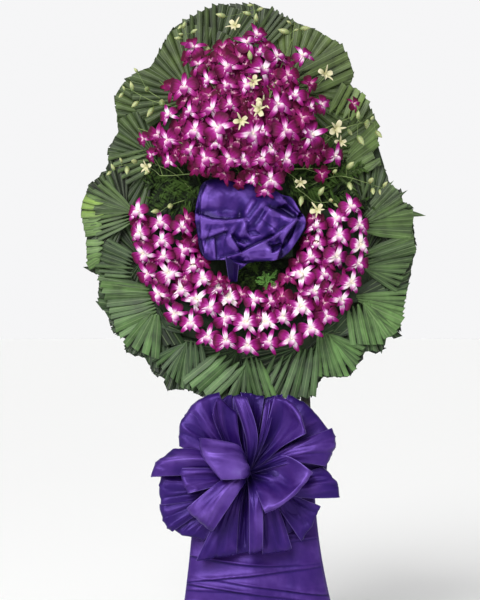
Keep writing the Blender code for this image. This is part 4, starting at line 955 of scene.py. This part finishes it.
def frond(number):
    """A unit frond along +X that arches towards the viewer: a rib and pairs of needles that shorten to the tip."""
    draw = random.Random(number)
    rib = [Vector((k / 8, -0.10 * math.sin(math.pi * k / 8), 0.05 * math.sin(2 * k + number))) for k in range(9)]
    parts = [rod(rib, thick=0.010, thin=0.004, sides=4)]
    parts[0][2]["along"] = [0.0] * len(parts[0][0])
    for k in range(17):
        share = 0.12 + 0.86 * k / 16
        spot = rib[min(7, int(share * 8))].lerp(rib[min(8, int(share * 8) + 1)], share * 8 % 1)
        for side in (-1, 1):
            long = 0.30 * (1.08 - 0.85 * share) * draw.uniform(0.75, 1.15)
            aim = Vector((draw.uniform(0.5, 0.9), draw.uniform(-0.5, 0.2), side)).normalized()
            wide = aim.cross(Vector((0, 1, 0))).normalized() * 0.021
            deep = Vector((0, 0.006, 0))
            a, b, c = spot, spot + aim * long * 0.45, spot + aim * long
            points = [a, b + wide, c, b - wide, b - deep]
            faces = [(0, 4, 1), (1, 4, 2), (2, 4, 3), (3, 4, 0), (0, 1, 2, 3)]
            parts.append((points, faces, {"along": [0.0, 0.5, 1.0, 0.5, 0.5]}))
    return make_piece(f"frond_{number}", gather(parts), smooth=False)


# clump: root in pixels, first and last direction, shortest and longest frond in metres, how many, depth, tone
FERNS = (
    ("left", (204, 190), 150, 225, 0.11, 0.20, 20, 0.060, 0.0),
    ("right", (293, 186), -35, 45, 0.11, 0.22, 22, 0.060, 0.0),
    ("low", (258, 262), 195, 345, 0.06, 0.115, 18, 0.056, 0.0),
    ("right", (287, 180), -70, 60, 0.045, 0.085, 18, 0.092, 0.0),
    ("low", (268, 282), 0, 360, 0.020, 0.034, 13, 0.086, 0.9),
)
draw = random.Random(3)
clumps = {}
for name, root, first, last, short, long, count, out, tone in FERNS:
    spots = clumps.setdefault(name, [])
    for k in range(count):
        degrees = first + (last - first) * (k + draw.uniform(0, 1)) / count
        turn = Matrix.Rotation(-math.radians(degrees), 4, "Y")
        turn = turn @ Matrix.Rotation(math.radians(draw.uniform(4, 20)), 4, "Z")
        spin = Matrix.Rotation(draw.uniform(-0.5, 0.5), 4, "X")
        spread = 4 if tone else 10
        place = INTO_FRONT @ seen(root[0] + draw.uniform(-5, 5), root[1] + draw.uniform(-spread, spread), out)
        size = draw.uniform(short, long)
        spot = FRONT @ Matrix.Translation(place) @ turn @ spin
        spots.append((spot, (size,) * 3, k % 3, tone + draw.uniform(-0.1, 0.35)))
for name, spots in clumps.items():
    clump = set_out(f"fern_{name}_fronds", [frond(k) for k in range(3)], fern_green, spots)
    ride(clump, "fern_leaf", f"fern_{name}")

# Satin: polyester ribbon satin, bluish purple. Its floats run along the ribbon, so its gloss is soft and long,
# and it creases sharply; painted shade darkens its folds and hollows, and painted highlight lightens its creases.
# Threads of 0.1 mm are drawn at 1 mm so that they show.
satin, tree, shader = new_finish(
    "purple polyester satin", Roughness=0.40, Metallic=0.20, Specular_IOR_Level=0.55, Sheen_Weight=0.12,
    Sheen_Roughness=0.4, Anisotropic=0.3, Specular_Tint=hex_colour("#b49cf0"), Sheen_Tint=hex_colour("#8f74d2"))
along, across, relief, edge = (  # relief is the painted light: -1 (painted shade) in a hollow and 1 (painted highlight) on a crease; edge the distance from the ribbon's side edge
    add(tree, "Attribute", out="Fac", attribute_name=mark) for mark in ("along", "across", "relief", "edge"))
cloth = add(tree, "CombineXYZ", {"X": along, "Y": across})
places = add(tree, "TexCoord", out="Object")
cloudy = add(tree, "TexNoise", {"Vector": places, "Scale": 16.0, "Detail": 3.0})
patchy = add(tree, "Math", {0: cloudy, 1: 0.45, 2: 0.26}, operation="MULTIPLY_ADD")
# the colour follows relief: painted shade in hollows and folds, painted highlight on creases, with random patches
painted_light_level = add(tree, "Math", {0: relief, 1: 0.5, 2: patchy}, operation="MULTIPLY_ADD")
dye_and_painted_light = add(tree, "ValToRGB", {"Fac": painted_light_level}, stops=(
    (0, "#0c032e"), (0.25, "#150640"), (0.47, "#240e54"), (0.62, "#3a2068"), (0.80, "#5c4090"), (1, "#7562ab")))
# painted highlight: a pale line along the ribbon's side edges, where they catch the light
edge_highlight = add(tree, "MapRange", {
    "Value": edge, "From Min": 0.0008, "From Max": 0.0024, "To Min": 0.55, "To Max": 0.0})
with_edge_highlight = add(tree, "Mix", {"Factor": edge_highlight, 6: dye_and_painted_light, 7: hex_colour("#6c599f")}, out=2, data_type="RGBA")
threads = add(tree, "TexWave", {"Vector": cloth, "Scale": 160.0, "Distortion": 0.6}, out="Fac",
              bands_direction="Y")
crumples = add(tree, "TexNoise", {"Vector": cloth, "Scale": 24.0, "Detail": 3.0})
fine = add(tree, "Bump", {"Height": threads, "Strength": 0.10, "Distance": 0.0005})
coarse = add(tree, "Bump", {"Height": crumples, "Strength": 0.5, "Distance": 0.004, "Normal": fine})
add(tree, shader, {"Base Color": with_edge_highlight, "Normal": coarse})
SATIN_THICK = 0.0005


def thicken(piece):
    """Gives a sheet its thickness, as a plain mesh."""
    bpy.context.scene.collection.objects.link(piece)
    solid = piece.modifiers.new("thickness", "SOLIDIFY")
    solid.thickness = SATIN_THICK
    solid.offset = 0
    return settle(piece)


def sheet_piece(name, rows, columns, place, size):
    """A thin closed sheet of satin from place(along, across), which gives a point and its relief, the painted shade
    and highlight there.
    """
    grid = [(r / rows, c / columns) for r in range(rows + 1) for c in range(columns + 1)]
    laid = [place(*g) for g in grid]
    marks = {"along": [g[0] * size[1] for g in grid], "across": [g[1] * size[0] for g in grid],
             "edge": [min(g[1], 1 - g[1]) * size[0] for g in grid], "relief": [high for _, high in laid]}
    return thicken(make_piece(name, ([point for point, _ in laid], list(quads(rows, columns)), marks), satin))


def ridge(x, width):
    """A sharp crease with soft shoulders."""
    return math.exp(-abs(x) / width)


# Skirt: a width of the same satin wrapped round the legs and pinned to the low crossbar behind the bow. It hangs
# almost to the floor, and pulls into long creases that run nearly level round it.
SKIRT_TOP, SKIRT_HEM = 0.500, 0.031
CREASES = (  # level at the left and at the right edge, bow between, width, depth
    (-0.02, 0.10, 0.02, 0.016, 0.010), (0.06, 0.03, 0.05, 0.008, 0.006), (0.118, 0.095, 0.02, 0.007, 0.006),
    (0.150, 0.128, -0.01, 0.006, 0.006), (0.160, 0.205, 0.01, 0.006, 0.007), (0.190, 0.225, 0.01, 0.005, 0.006),
    (0.245, 0.212, 0.02, 0.006, 0.007), (0.262, 0.290, 0.015, 0.005, 0.006), (0.310, 0.270, -0.01, 0.006, 0.006),
    (0.350, 0.380, 0.02, 0.006, 0.007), (0.42, 0.40, 0.02, 0.006, 0.007), (0.50, 0.54, 0.03, 0.008, 0.008),
    (0.646, 0.559, 0.0, 0.006, 0.008), (0.612, 0.722, 0.0, 0.006, 0.008), (0.657, 0.763, 0.0, 0.007, 0.008),
    (0.690, 0.655, 0.02, 0.006, 0.006), (0.74, 0.80, 0.01, 0.008, 0.008), (0.83, 0.80, 0.01, 0.008, 0.007),
    (0.88, 0.93, 0.02, 0.009, 0.007),
)


def skirt_place(down, across):
    """Where the skirt runs, from its top to its hem and from left to right, and its relief there, which paints a
    highlight above each crease and shade below it.
    """
    z = SKIRT_TOP + (SKIRT_HEM - SKIRT_TOP) * down
    left = -0.146 - 0.044 * down ** 1.7
    right = 0.171 + 0.074 * down ** 2
    slope = math.tan(LEAN)
    back = (SKIRT_TOP * slope - 0.0245) * (1 - down) - 0.045 * down
    side = 2 * across - 1
    fold, high = 0.0, 0.19
    for start, end, bow, width, deep in CREASES:
        line = start + (end - start) * across + bow * math.sin(math.pi * across)
        slope_side = 2.4 if down < line else 0.4  # the cloth laps over downwards, so its lower side is steep
        strong = deep * (0.45 + 0.55 * math.sin(2.6 * across + 40 * start))
        fold += strong * ridge(down - line, width * slope_side)
        # painted highlight just above each crease line and painted shade just below it
        high += strong * (28 * ridge(down - line, 0.010) - 135 * ridge(down - line - 0.008, 0.004))
    hang = 0.006 * math.sin(math.tau * (2.3 * across + 0.3 * down)) * down
    top = min(1.0, down / 0.12)
    y = back - 0.003 - top * (fold + hang + 0.012 * (1 - side * side)) + 0.040 * down * side ** 4
    return Vector((left + (right - left) * across, y + FOOT_LINE.y, z)), high


skirt = sheet_piece("satin_skirt", 230, 40, skirt_place, (0.46, 0.50))
ride(skirt, "purple_satin", "skirt")

# Puff: a square of satin bunched over the lower foam block. Stiff satin crumples into broad faces that end in sharp
# edges with a hollow behind them, which painted shade darkens: each is traced in pixels, as a line whose left side
# stands up by so many mm.
PUFF_MIDDLE = (250, 222)
RIM = (  # its outline in pixels, and how many mm it stands out there
    (211, 179, 0), (203, 183, 2), (199, 192, 4), (196, 206, 5), (195, 218, 6), (197, 232, 6), (199, 246, 6),
    (202, 254, 8), (207, 260, 8), (217, 260, 8), (226, 260, 8), (231, 262, 6), (238, 270, 4), (247, 264, 8),
    (254, 262, 12), (276, 260, 14), (287, 254, 16), (297, 241, 20), (305, 227, 22), (305, 218, 20), (300, 211, 14),
    (292, 198, 8), (283, 195, 6), (270, 188, 0), (250, 181, 0), (228, 179, 0),
)
EDGES = (  # line, how high its left side stands (seen along the line), how far that reaches in pixels
    (((243, 218), (226, 220), (213, 219), (198, 214)), 13, 12), (((201, 239), (213, 236), (225, 231)), 8, 9),
    (((272, 237), (241, 252)), 13, 10), (((298, 217), (272, 237)), 8, 10), (((241, 252), (232, 237)), 9, 8),
    (((297, 219), (288, 217), (270, 208)), 13, 14),
    (((277, 262), (281, 249), (286, 236), (296, 222), (300, 212)), 15, 12), (((299, 214), (284, 199)), 12, 6),
    (((206, 186), (201, 196), (200, 222), (201, 240), (204, 252)), 7, 6), (((242, 252), (222, 258)), 6, 6),
    (((216, 257), (215, 240)), 6, 8), (((247, 264), (231, 261)), 8, 9),
)
FOLDS = (  # soft folds, as a line with height in mm and width in pixels
    ((262, 205), (237, 238), 7, 2.6), ((253, 202), (233, 232), 6, 2.2), ((269, 211), (252, 236), 4, 2.6),
    ((241, 216), (235, 236), -8, 3), ((272, 212), (273, 233), 3, 2), ((281, 216), (281, 228), -3, 2),
    ((271, 243), (279, 242), -17, 3.6), ((237, 239), (247, 240), -11, 2.6), ((226, 206), (238, 207), -9, 6),
    ((251, 228), (254, 232), -6, 3), ((270, 250), (266, 245), 5, 1.5), ((206, 196), (218, 192), 4, 7),
    ((224, 243), (228, 252), -5, 5), ((248, 256), (272, 252), 3, 3), ((280, 207), (294, 214), -15, 3.4),
    ((204, 211), (238, 212), -7, 3.5),
)
HOLLOWS = (  # sharp-edged pockets between the faces, as corners in pixels, and how deep in mm
    (((276, 208), (288, 202), (304, 216), (298, 219), (291, 218)), 14),
    (((270, 245), (282, 242), (285, 247), (272, 254)), 15), (((234, 240), (240, 239), (249, 245), (243, 244)), 7),
    (((287, 236), (297, 221), (292, 237), (286, 246)), 10),
    (((229, 262), (250, 260), (279, 261), (279, 264), (250, 265), (240, 263)), 8),
    (((246, 231), (256, 229), (262, 235), (250, 238)), 4),
)


def off_line(spot, a, b):
    """How far a spot is from a line, whether on its left in the picture, and how far past the line's ends."""
    share = (spot - a).dot(b - a) / (b - a).length_squared
    past = max(0.0, -share, share - 1) * (b - a).length
    return (spot - a.lerp(b, min(1.0, max(0.0, share)))).length, (b - a).cross(spot - a) < 0, past


def puff_height(px, py, rim):
    """How many mm the satin stands out at a pixel, where the rim's share of that is rim."""
    spot = Vector((px, py))
    height = rim + 26 * (1 - ((px - PUFF_MIDDLE[0]) / 56) ** 2 - ((py - PUFF_MIDDLE[1]) / 46) ** 2)
    for line, tall, reach in EDGES:
        corners = [Vector(corner) for corner in line]
        found = [off_line(spot, a, b) for a, b in zip(corners, corners[1:])]
        gap, left, past = min(found, key=lambda one: one[0])
        step = min(1.0, gap / 0.8) * math.exp(-((past / 3) ** 2))
        if left:
            height += tall * step * math.exp(-gap / reach)
        else:
            height -= 0.8 * tall * step * math.exp(-gap / (0.5 * reach))
    for a, b, tall, width in FOLDS:
        gap = off_line(spot, Vector(a), Vector(b))[0]
        height += tall * math.exp(-((gap / width) ** 2) / 2)
    for corners, deep in HOLLOWS:
        if within(px, py, corners):
            ends = [Vector(corner) for corner in corners]
            height -= deep * min(1.0, min(off_line(spot, a, b)[0] for a, b in zip(ends, ends[1:] + ends[:1])) / 1.5)
    return height


def puff_sheet():
    """Rings from the middle to the rim, which turns under to the foam."""
    rim = smooth_path([Vector(point) for point in RIM + RIM[:1]], 9)[:-1]
    around, rings = len(rim), 62
    middle = Vector(PUFF_MIDDLE)
    points, along, across, heights = [], [], [], []
    for ring in range(1, rings + 3):
        share = min(1.0, ring / rings)
        down, inwards = ((0, 1), (3, 0.985), (9, 0.94))[max(0, ring - rings)]
        for spot in rim:
            flat = middle + (spot.to_2d() - middle) * share * inwards
            height = puff_height(flat.x, flat.y, spot.z * share ** 3)
            wrinkle = 1.1 * noise.noise(Vector((flat.x * 0.10, flat.y * 0.10, 0.3)))
            wrinkle += 0.5 * noise.noise(Vector((flat.x * 0.3, flat.y * 0.3, 2)))
            out = max(0.0862, 0.098 + 0.001 * (height + wrinkle - down - (height * 0.4 if ring > rings else 0)))
            points.append(seen(flat.x, flat.y, out))
            heights.append(height + wrinkle)
            along.append(flat.y * PIXEL)
            across.append(flat.x * PIXEL)
    faces = [tuple(range(around)), *quads(rings + 1, around, closed=True)]
    relief = []
    for i, height in enumerate(heights):
        ring, k = divmod(i, around)
        near = [heights[min(rings + 1, max(0, ring + r)) * around + (k + s) % around]
                for r, s in ((-3, 0), (3, 0), (0, -3), (0, 3), (-6, 5), (6, 5), (-6, -5), (6, -5))]
        # painted light: painted shade where the satin lies below its neighbours, painted highlight where it stands
        # above them
        relief.append(max(-1.0, min(0.55, 0.17 * (height - sum(near) / 8) + 0.10)))
    return points, faces, {"along": along, "across": across, "edge": [1.0] * len(points), "relief": relief}


puff = thicken(make_piece("satin_bunch", puff_sheet(), satin))
ride(puff, "purple_satin", "satin_puff")


def tail_place(down, across):
    """The corner of the puff's satin that hangs out under it: a folded point that leans back to the foam."""
    left, right = 225 + 4 * down, 239 - 2 * down
    px = left + (right - left) * across
    py = 256 + 26 * down + 9 * across * (1 - down)
    # the corner is painted dark all over (relief -0.7): painted shade under the puff
    return seen(px, py, 0.120 - 0.045 * down + 0.010 * abs(2 * across - 1.2)), -0.7


tail = sheet_piece("satin_corner", 24, 16, tail_place, (0.045, 0.080))
ride(tail, "purple_satin")

# Bow: one long ribbon of the same satin, about 110 mm wide, laid back and forth and tied in its middle. Each loop
# is a strip between its two edges: they run from the tie out to the fold and come back behind, pinched at the tie.
# the second value is the depth out from the front at which the bow's painted shade by depth is zero
TIE_AT, BOW_SHADE_LEVEL = (248.5, 472.7), 0.123
TIE = seen(*TIE_AT, 0.075)
LOOPS = (  # both edges from the tie to the fold as pixel and depth, how far behind they return, bulge, swell, pleats
    (((215, 455, 0.084), (173, 458, 0.080)), ((216, 488, 0.084), (170, 500, 0.080)), 0.016, 0.000, 0.004, 3),
    (((215, 490, 0.080), (172, 520, 0.074)), ((236, 506, 0.080), (206, 538, 0.074)), 0.016, 0.000, 0.004, 3),
    (((278, 440, 0.090), (322, 428, 0.084)), ((285, 492, 0.090), (324, 490, 0.084)), 0.018, 0.000, 0.004, 3),
    (((264, 500, 0.080), (276, 541, 0.074)), ((286, 488, 0.080), (314, 508, 0.074)), 0.016, 0.000, 0.004, 3),
    (((236, 430, 0.084), (232, 397, 0.078)), ((213, 446, 0.084), (187, 424, 0.078)), 0.016, 0.004, 0.004, 3),
    (((264, 430, 0.080), (276, 397, 0.074)), ((283, 452, 0.080), (313, 428, 0.074)), 0.016, 0.004, 0.004, 3),
    (((228, 436, 0.080), (224, 400, 0.074)), ((252, 434, 0.080), (254, 399, 0.074)), 0.016, 0.004, 0.004, 3),
    (((252, 440, 0.078), (255, 404, 0.072)), ((270, 436, 0.078), (282, 398, 0.072)), 0.016, 0.002, 0.002, 2),
    (((232, 434, 0.098), (220, 395, 0.092)), ((208, 442, 0.100), (186, 418, 0.092)), 0.030, 0.012, 0.008, 2),
    (((214, 436, 0.104), (192, 412, 0.100)), ((206, 459, 0.102), (181, 447, 0.096)), 0.032, 0.016, 0.006, 1),
    (((272, 430, 0.085), (287, 397, 0.082)), ((289, 456, 0.092), (325, 432, 0.085)), 0.030, 0.014, 0.010, 2),
    (((250, 430, 0.095), (241, 395, 0.095)), ((259, 430, 0.090), (264, 399, 0.085)), 0.028, 0.004, -0.010, 1),
    (((224, 504, 0.095), (198, 556, 0.085)), ((240, 506, 0.098), (237, 550, 0.085)), 0.022, 0.004, 0.004, 2),
    (((240, 505, 0.089), (233, 551, 0.085)), ((250, 506, 0.085), (252, 549, 0.079)), 0.020, 0.000, -0.006, 2),
    (((257, 505, 0.098), (262, 551, 0.092)), ((276, 503, 0.095), (291, 545, 0.088)), 0.024, 0.004, 0.006, 2),
    (((272, 500, 0.088), (299, 538, 0.080)), ((288, 492, 0.098), (318, 505, 0.098)), 0.022, 0.004, -0.016, 4),
    (((205, 478, 0.094), (165, 475, 0.094)), ((205, 498, 0.092), (164, 505, 0.090)), 0.026, 0.006, 0.006, 2),
    (((207, 490, 0.086), (164, 503, 0.086)), ((213, 503, 0.086), (175, 530, 0.080)), 0.024, 0.010, 0.006, 1),
    (((212, 500, 0.078), (174, 526, 0.074)), ((224, 508, 0.080), (199, 536, 0.074)), 0.020, 0.006, 0.002, 1),
    (((200, 450, 0.118), (175, 449, 0.106)), ((208, 474, 0.120), (155, 477, 0.118)), 0.030, 0.012, 0.012, 1),
    (((292, 474, 0.112), (321, 467, 0.106)), ((292, 496, 0.112), (336, 498, 0.116)), 0.030, 0.014, 0.008, 1),
    (((288, 446, 0.130), (329, 429, 0.124)), ((292, 463, 0.140), (323, 466, 0.130)), 0.036, 0.016, 0.008, 2),
    (((213, 468, 0.130), (181, 468, 0.128)), ((216, 486, 0.128), (190, 493, 0.136)), 0.034, 0.002, -0.010, 2),
    (((281, 448, 0.146), (305, 434, 0.166)), ((266, 426, 0.120), (274, 398, 0.126)), 0.050, 0.024, -0.040, 1),
    (((224, 444, 0.130), (213, 417, 0.146)), ((240, 440, 0.112), (237, 415, 0.114)), 0.040, 0.048, -0.032, 1),
    (((246, 438, 0.132), (234, 400, 0.130)), ((258, 436, 0.140), (248, 400, 0.140)), 0.026, 0.002, 0.006, 1),
    (((259, 438, 0.126), (264, 408, 0.126)), ((267, 434, 0.118), (276, 398, 0.110)), 0.026, 0.002, 0.002, 1),
    (((249, 500, 0.136), (249, 550, 0.126)), ((262, 503, 0.140), (263, 546, 0.132)), 0.040, 0.002, 0.008, 1),
    (((224, 478, 0.150), (190, 505, 0.150)), ((239, 492, 0.152), (215, 528, 0.146)), 0.040, 0.006, 0.008, 1),
    (((256, 492, 0.140), (264, 511, 0.166)), ((282, 455, 0.140), (310, 470, 0.166)), 0.050, 0.022, -0.036, 3),
    (((238, 446, 0.146), (203, 438, 0.140)), ((243, 479, 0.166), (223, 480, 0.176)), 0.050, 0.024, 0.014, 1),
)


def bow_edge(stations, behind, sideways):
    """One edge of a loop, from the tie round the fold and back to the tie."""
    back = [(px + (TIE_AT[0] - px) * 0.06, py + (TIE_AT[1] - py) * 0.06, out - behind)
            for px, py, out in reversed(stations)]
    places = [seen(*station) for station in (*stations, *back)]
    return smooth_path([TIE + OUT * 0.012 + sideways, *places, TIE - OUT * 0.012 + sideways], 16)


def bow_loop(number, one, two, behind, bulge, swell, pleats):
    """A loop of ribbon between two edges, with pleats that run out from the tie, sharp creases and soft crumples."""
    draw = random.Random(60 + number)
    apart = (seen(*two[0]) - seen(*one[0])).normalized() * 0.006
    edge_a, edge_b = bow_edge(one, behind, -apart), bow_edge(two, behind, apart)
    last = len(edge_a) - 1
    creases = [(draw.uniform(0.15, 0.85), draw.uniform(0.05, 0.95), draw.choice((-1, 1)) * draw.uniform(0.002, 0.005),
                draw.uniform(0.04, 0.10)) for _ in range(3)]
    phase, lean = draw.uniform(0, 1), draw.uniform(-0.12, 0.12)
    seed = Vector((number * 3.1, 0, 0))

    def on_edge(edge, along):
        k = min(last - 1, int(along * last))
        return edge[k].lerp(edge[k + 1], along * last - k)

    def place(along, across):
        a, b = on_edge(edge_a, along), on_edge(edge_b, along)
        out = 1 - abs(2 * along - 1)
        point = a.lerp(b, across)
        slope = on_edge(edge_a, min(1, along + 0.03)) - on_edge(edge_a, max(0, along - 0.03))
        slope += on_edge(edge_b, min(1, along + 0.03)) - on_edge(edge_b, max(0, along - 0.03))
        normal = slope.cross(b - a).normalized() * turned
        arch = math.sin(math.pi * across) if bulge < 0.047 else 1 - abs(2 * across - 1) ** 1.3
        away = ((a + b) / 2 - TIE).normalized()
        point += away * bulge * arch * min(1.0, 1.25 * out) ** 2
        point += normal * swell * arch * math.sin(math.pi * min(1, 1.1 * out)) * (1 if along < 0.5 else 0.4)
        wave = math.asin(0.98 * math.sin(math.tau * (pleats * (across + lean * out) + phase))) / 1.37
        tall = size * 0.009 / pleats ** 0.5 * min(1.0, out / 0.15) * max(0.0, 1 - 1.15 * out) ** 1.3
        folds = sum(high * ridge(across - start - (end - start) * out, wide) for start, end, high, wide in creases)
        soft = noise.noise(Vector((across * 2.2, out * 1.6, 0)) + seed) * 0.008 * math.sin(math.pi * min(1, out))
        sharp = (1 - abs(noise.noise(Vector((across * 2.6, along * 5.2, 4)) + seed))) ** 6
        crumple = sharp * 0.0035 * min(1.0, 2 * out)
        raised = tall * wave + size * (folds * min(1.0, 3 * out) * (1 - 0.5 * out) + soft + crumple)
        # painted light in high: painted highlight on raised pleats and along the fold, painted shade near the tie and
        # on the loop's returning half
        high = 45 * (raised - size * soft) + 0.8 * math.exp(-(((along - 0.5) * long / 0.005) ** 2)) + 0.08
        high -= 1.0 * math.exp(-((out / 0.22) ** 2)) + (0.45 if along > 0.52 else 0.0)
        point += normal * raised
        proud = -(INTO_FRONT @ point).y  # painted light by depth: what stands out towards the viewer is painted lighter, what lies deep painted darker
        return point, max(-1.0, min(0.8, high + 6 * (proud - BOW_SHADE_LEVEL)))

    turned = 1 if (on_edge(edge_a, 0.3) - on_edge(edge_a, 0.1)).cross(apart).dot(OUT) > 0 else -1
    wide = (on_edge(edge_a, 0.45) - on_edge(edge_b, 0.45)).length + 1.5 * bulge
    long = sum((edge_a[k + 1] - edge_a[k]).length + (edge_b[k + 1] - edge_b[k]).length for k in range(last)) / 2
    size = min(1.0, wide / 0.09)
    flat = (round(wide, 3), round(long, 3))
    piece = sheet_piece(f"bow_loop_{number:02d}", 64, 36, place, flat)
    ride(piece, "purple_satin", "bow")


for number, loop in enumerate(LOOPS, 1):
    bow_loop(number, *loop)
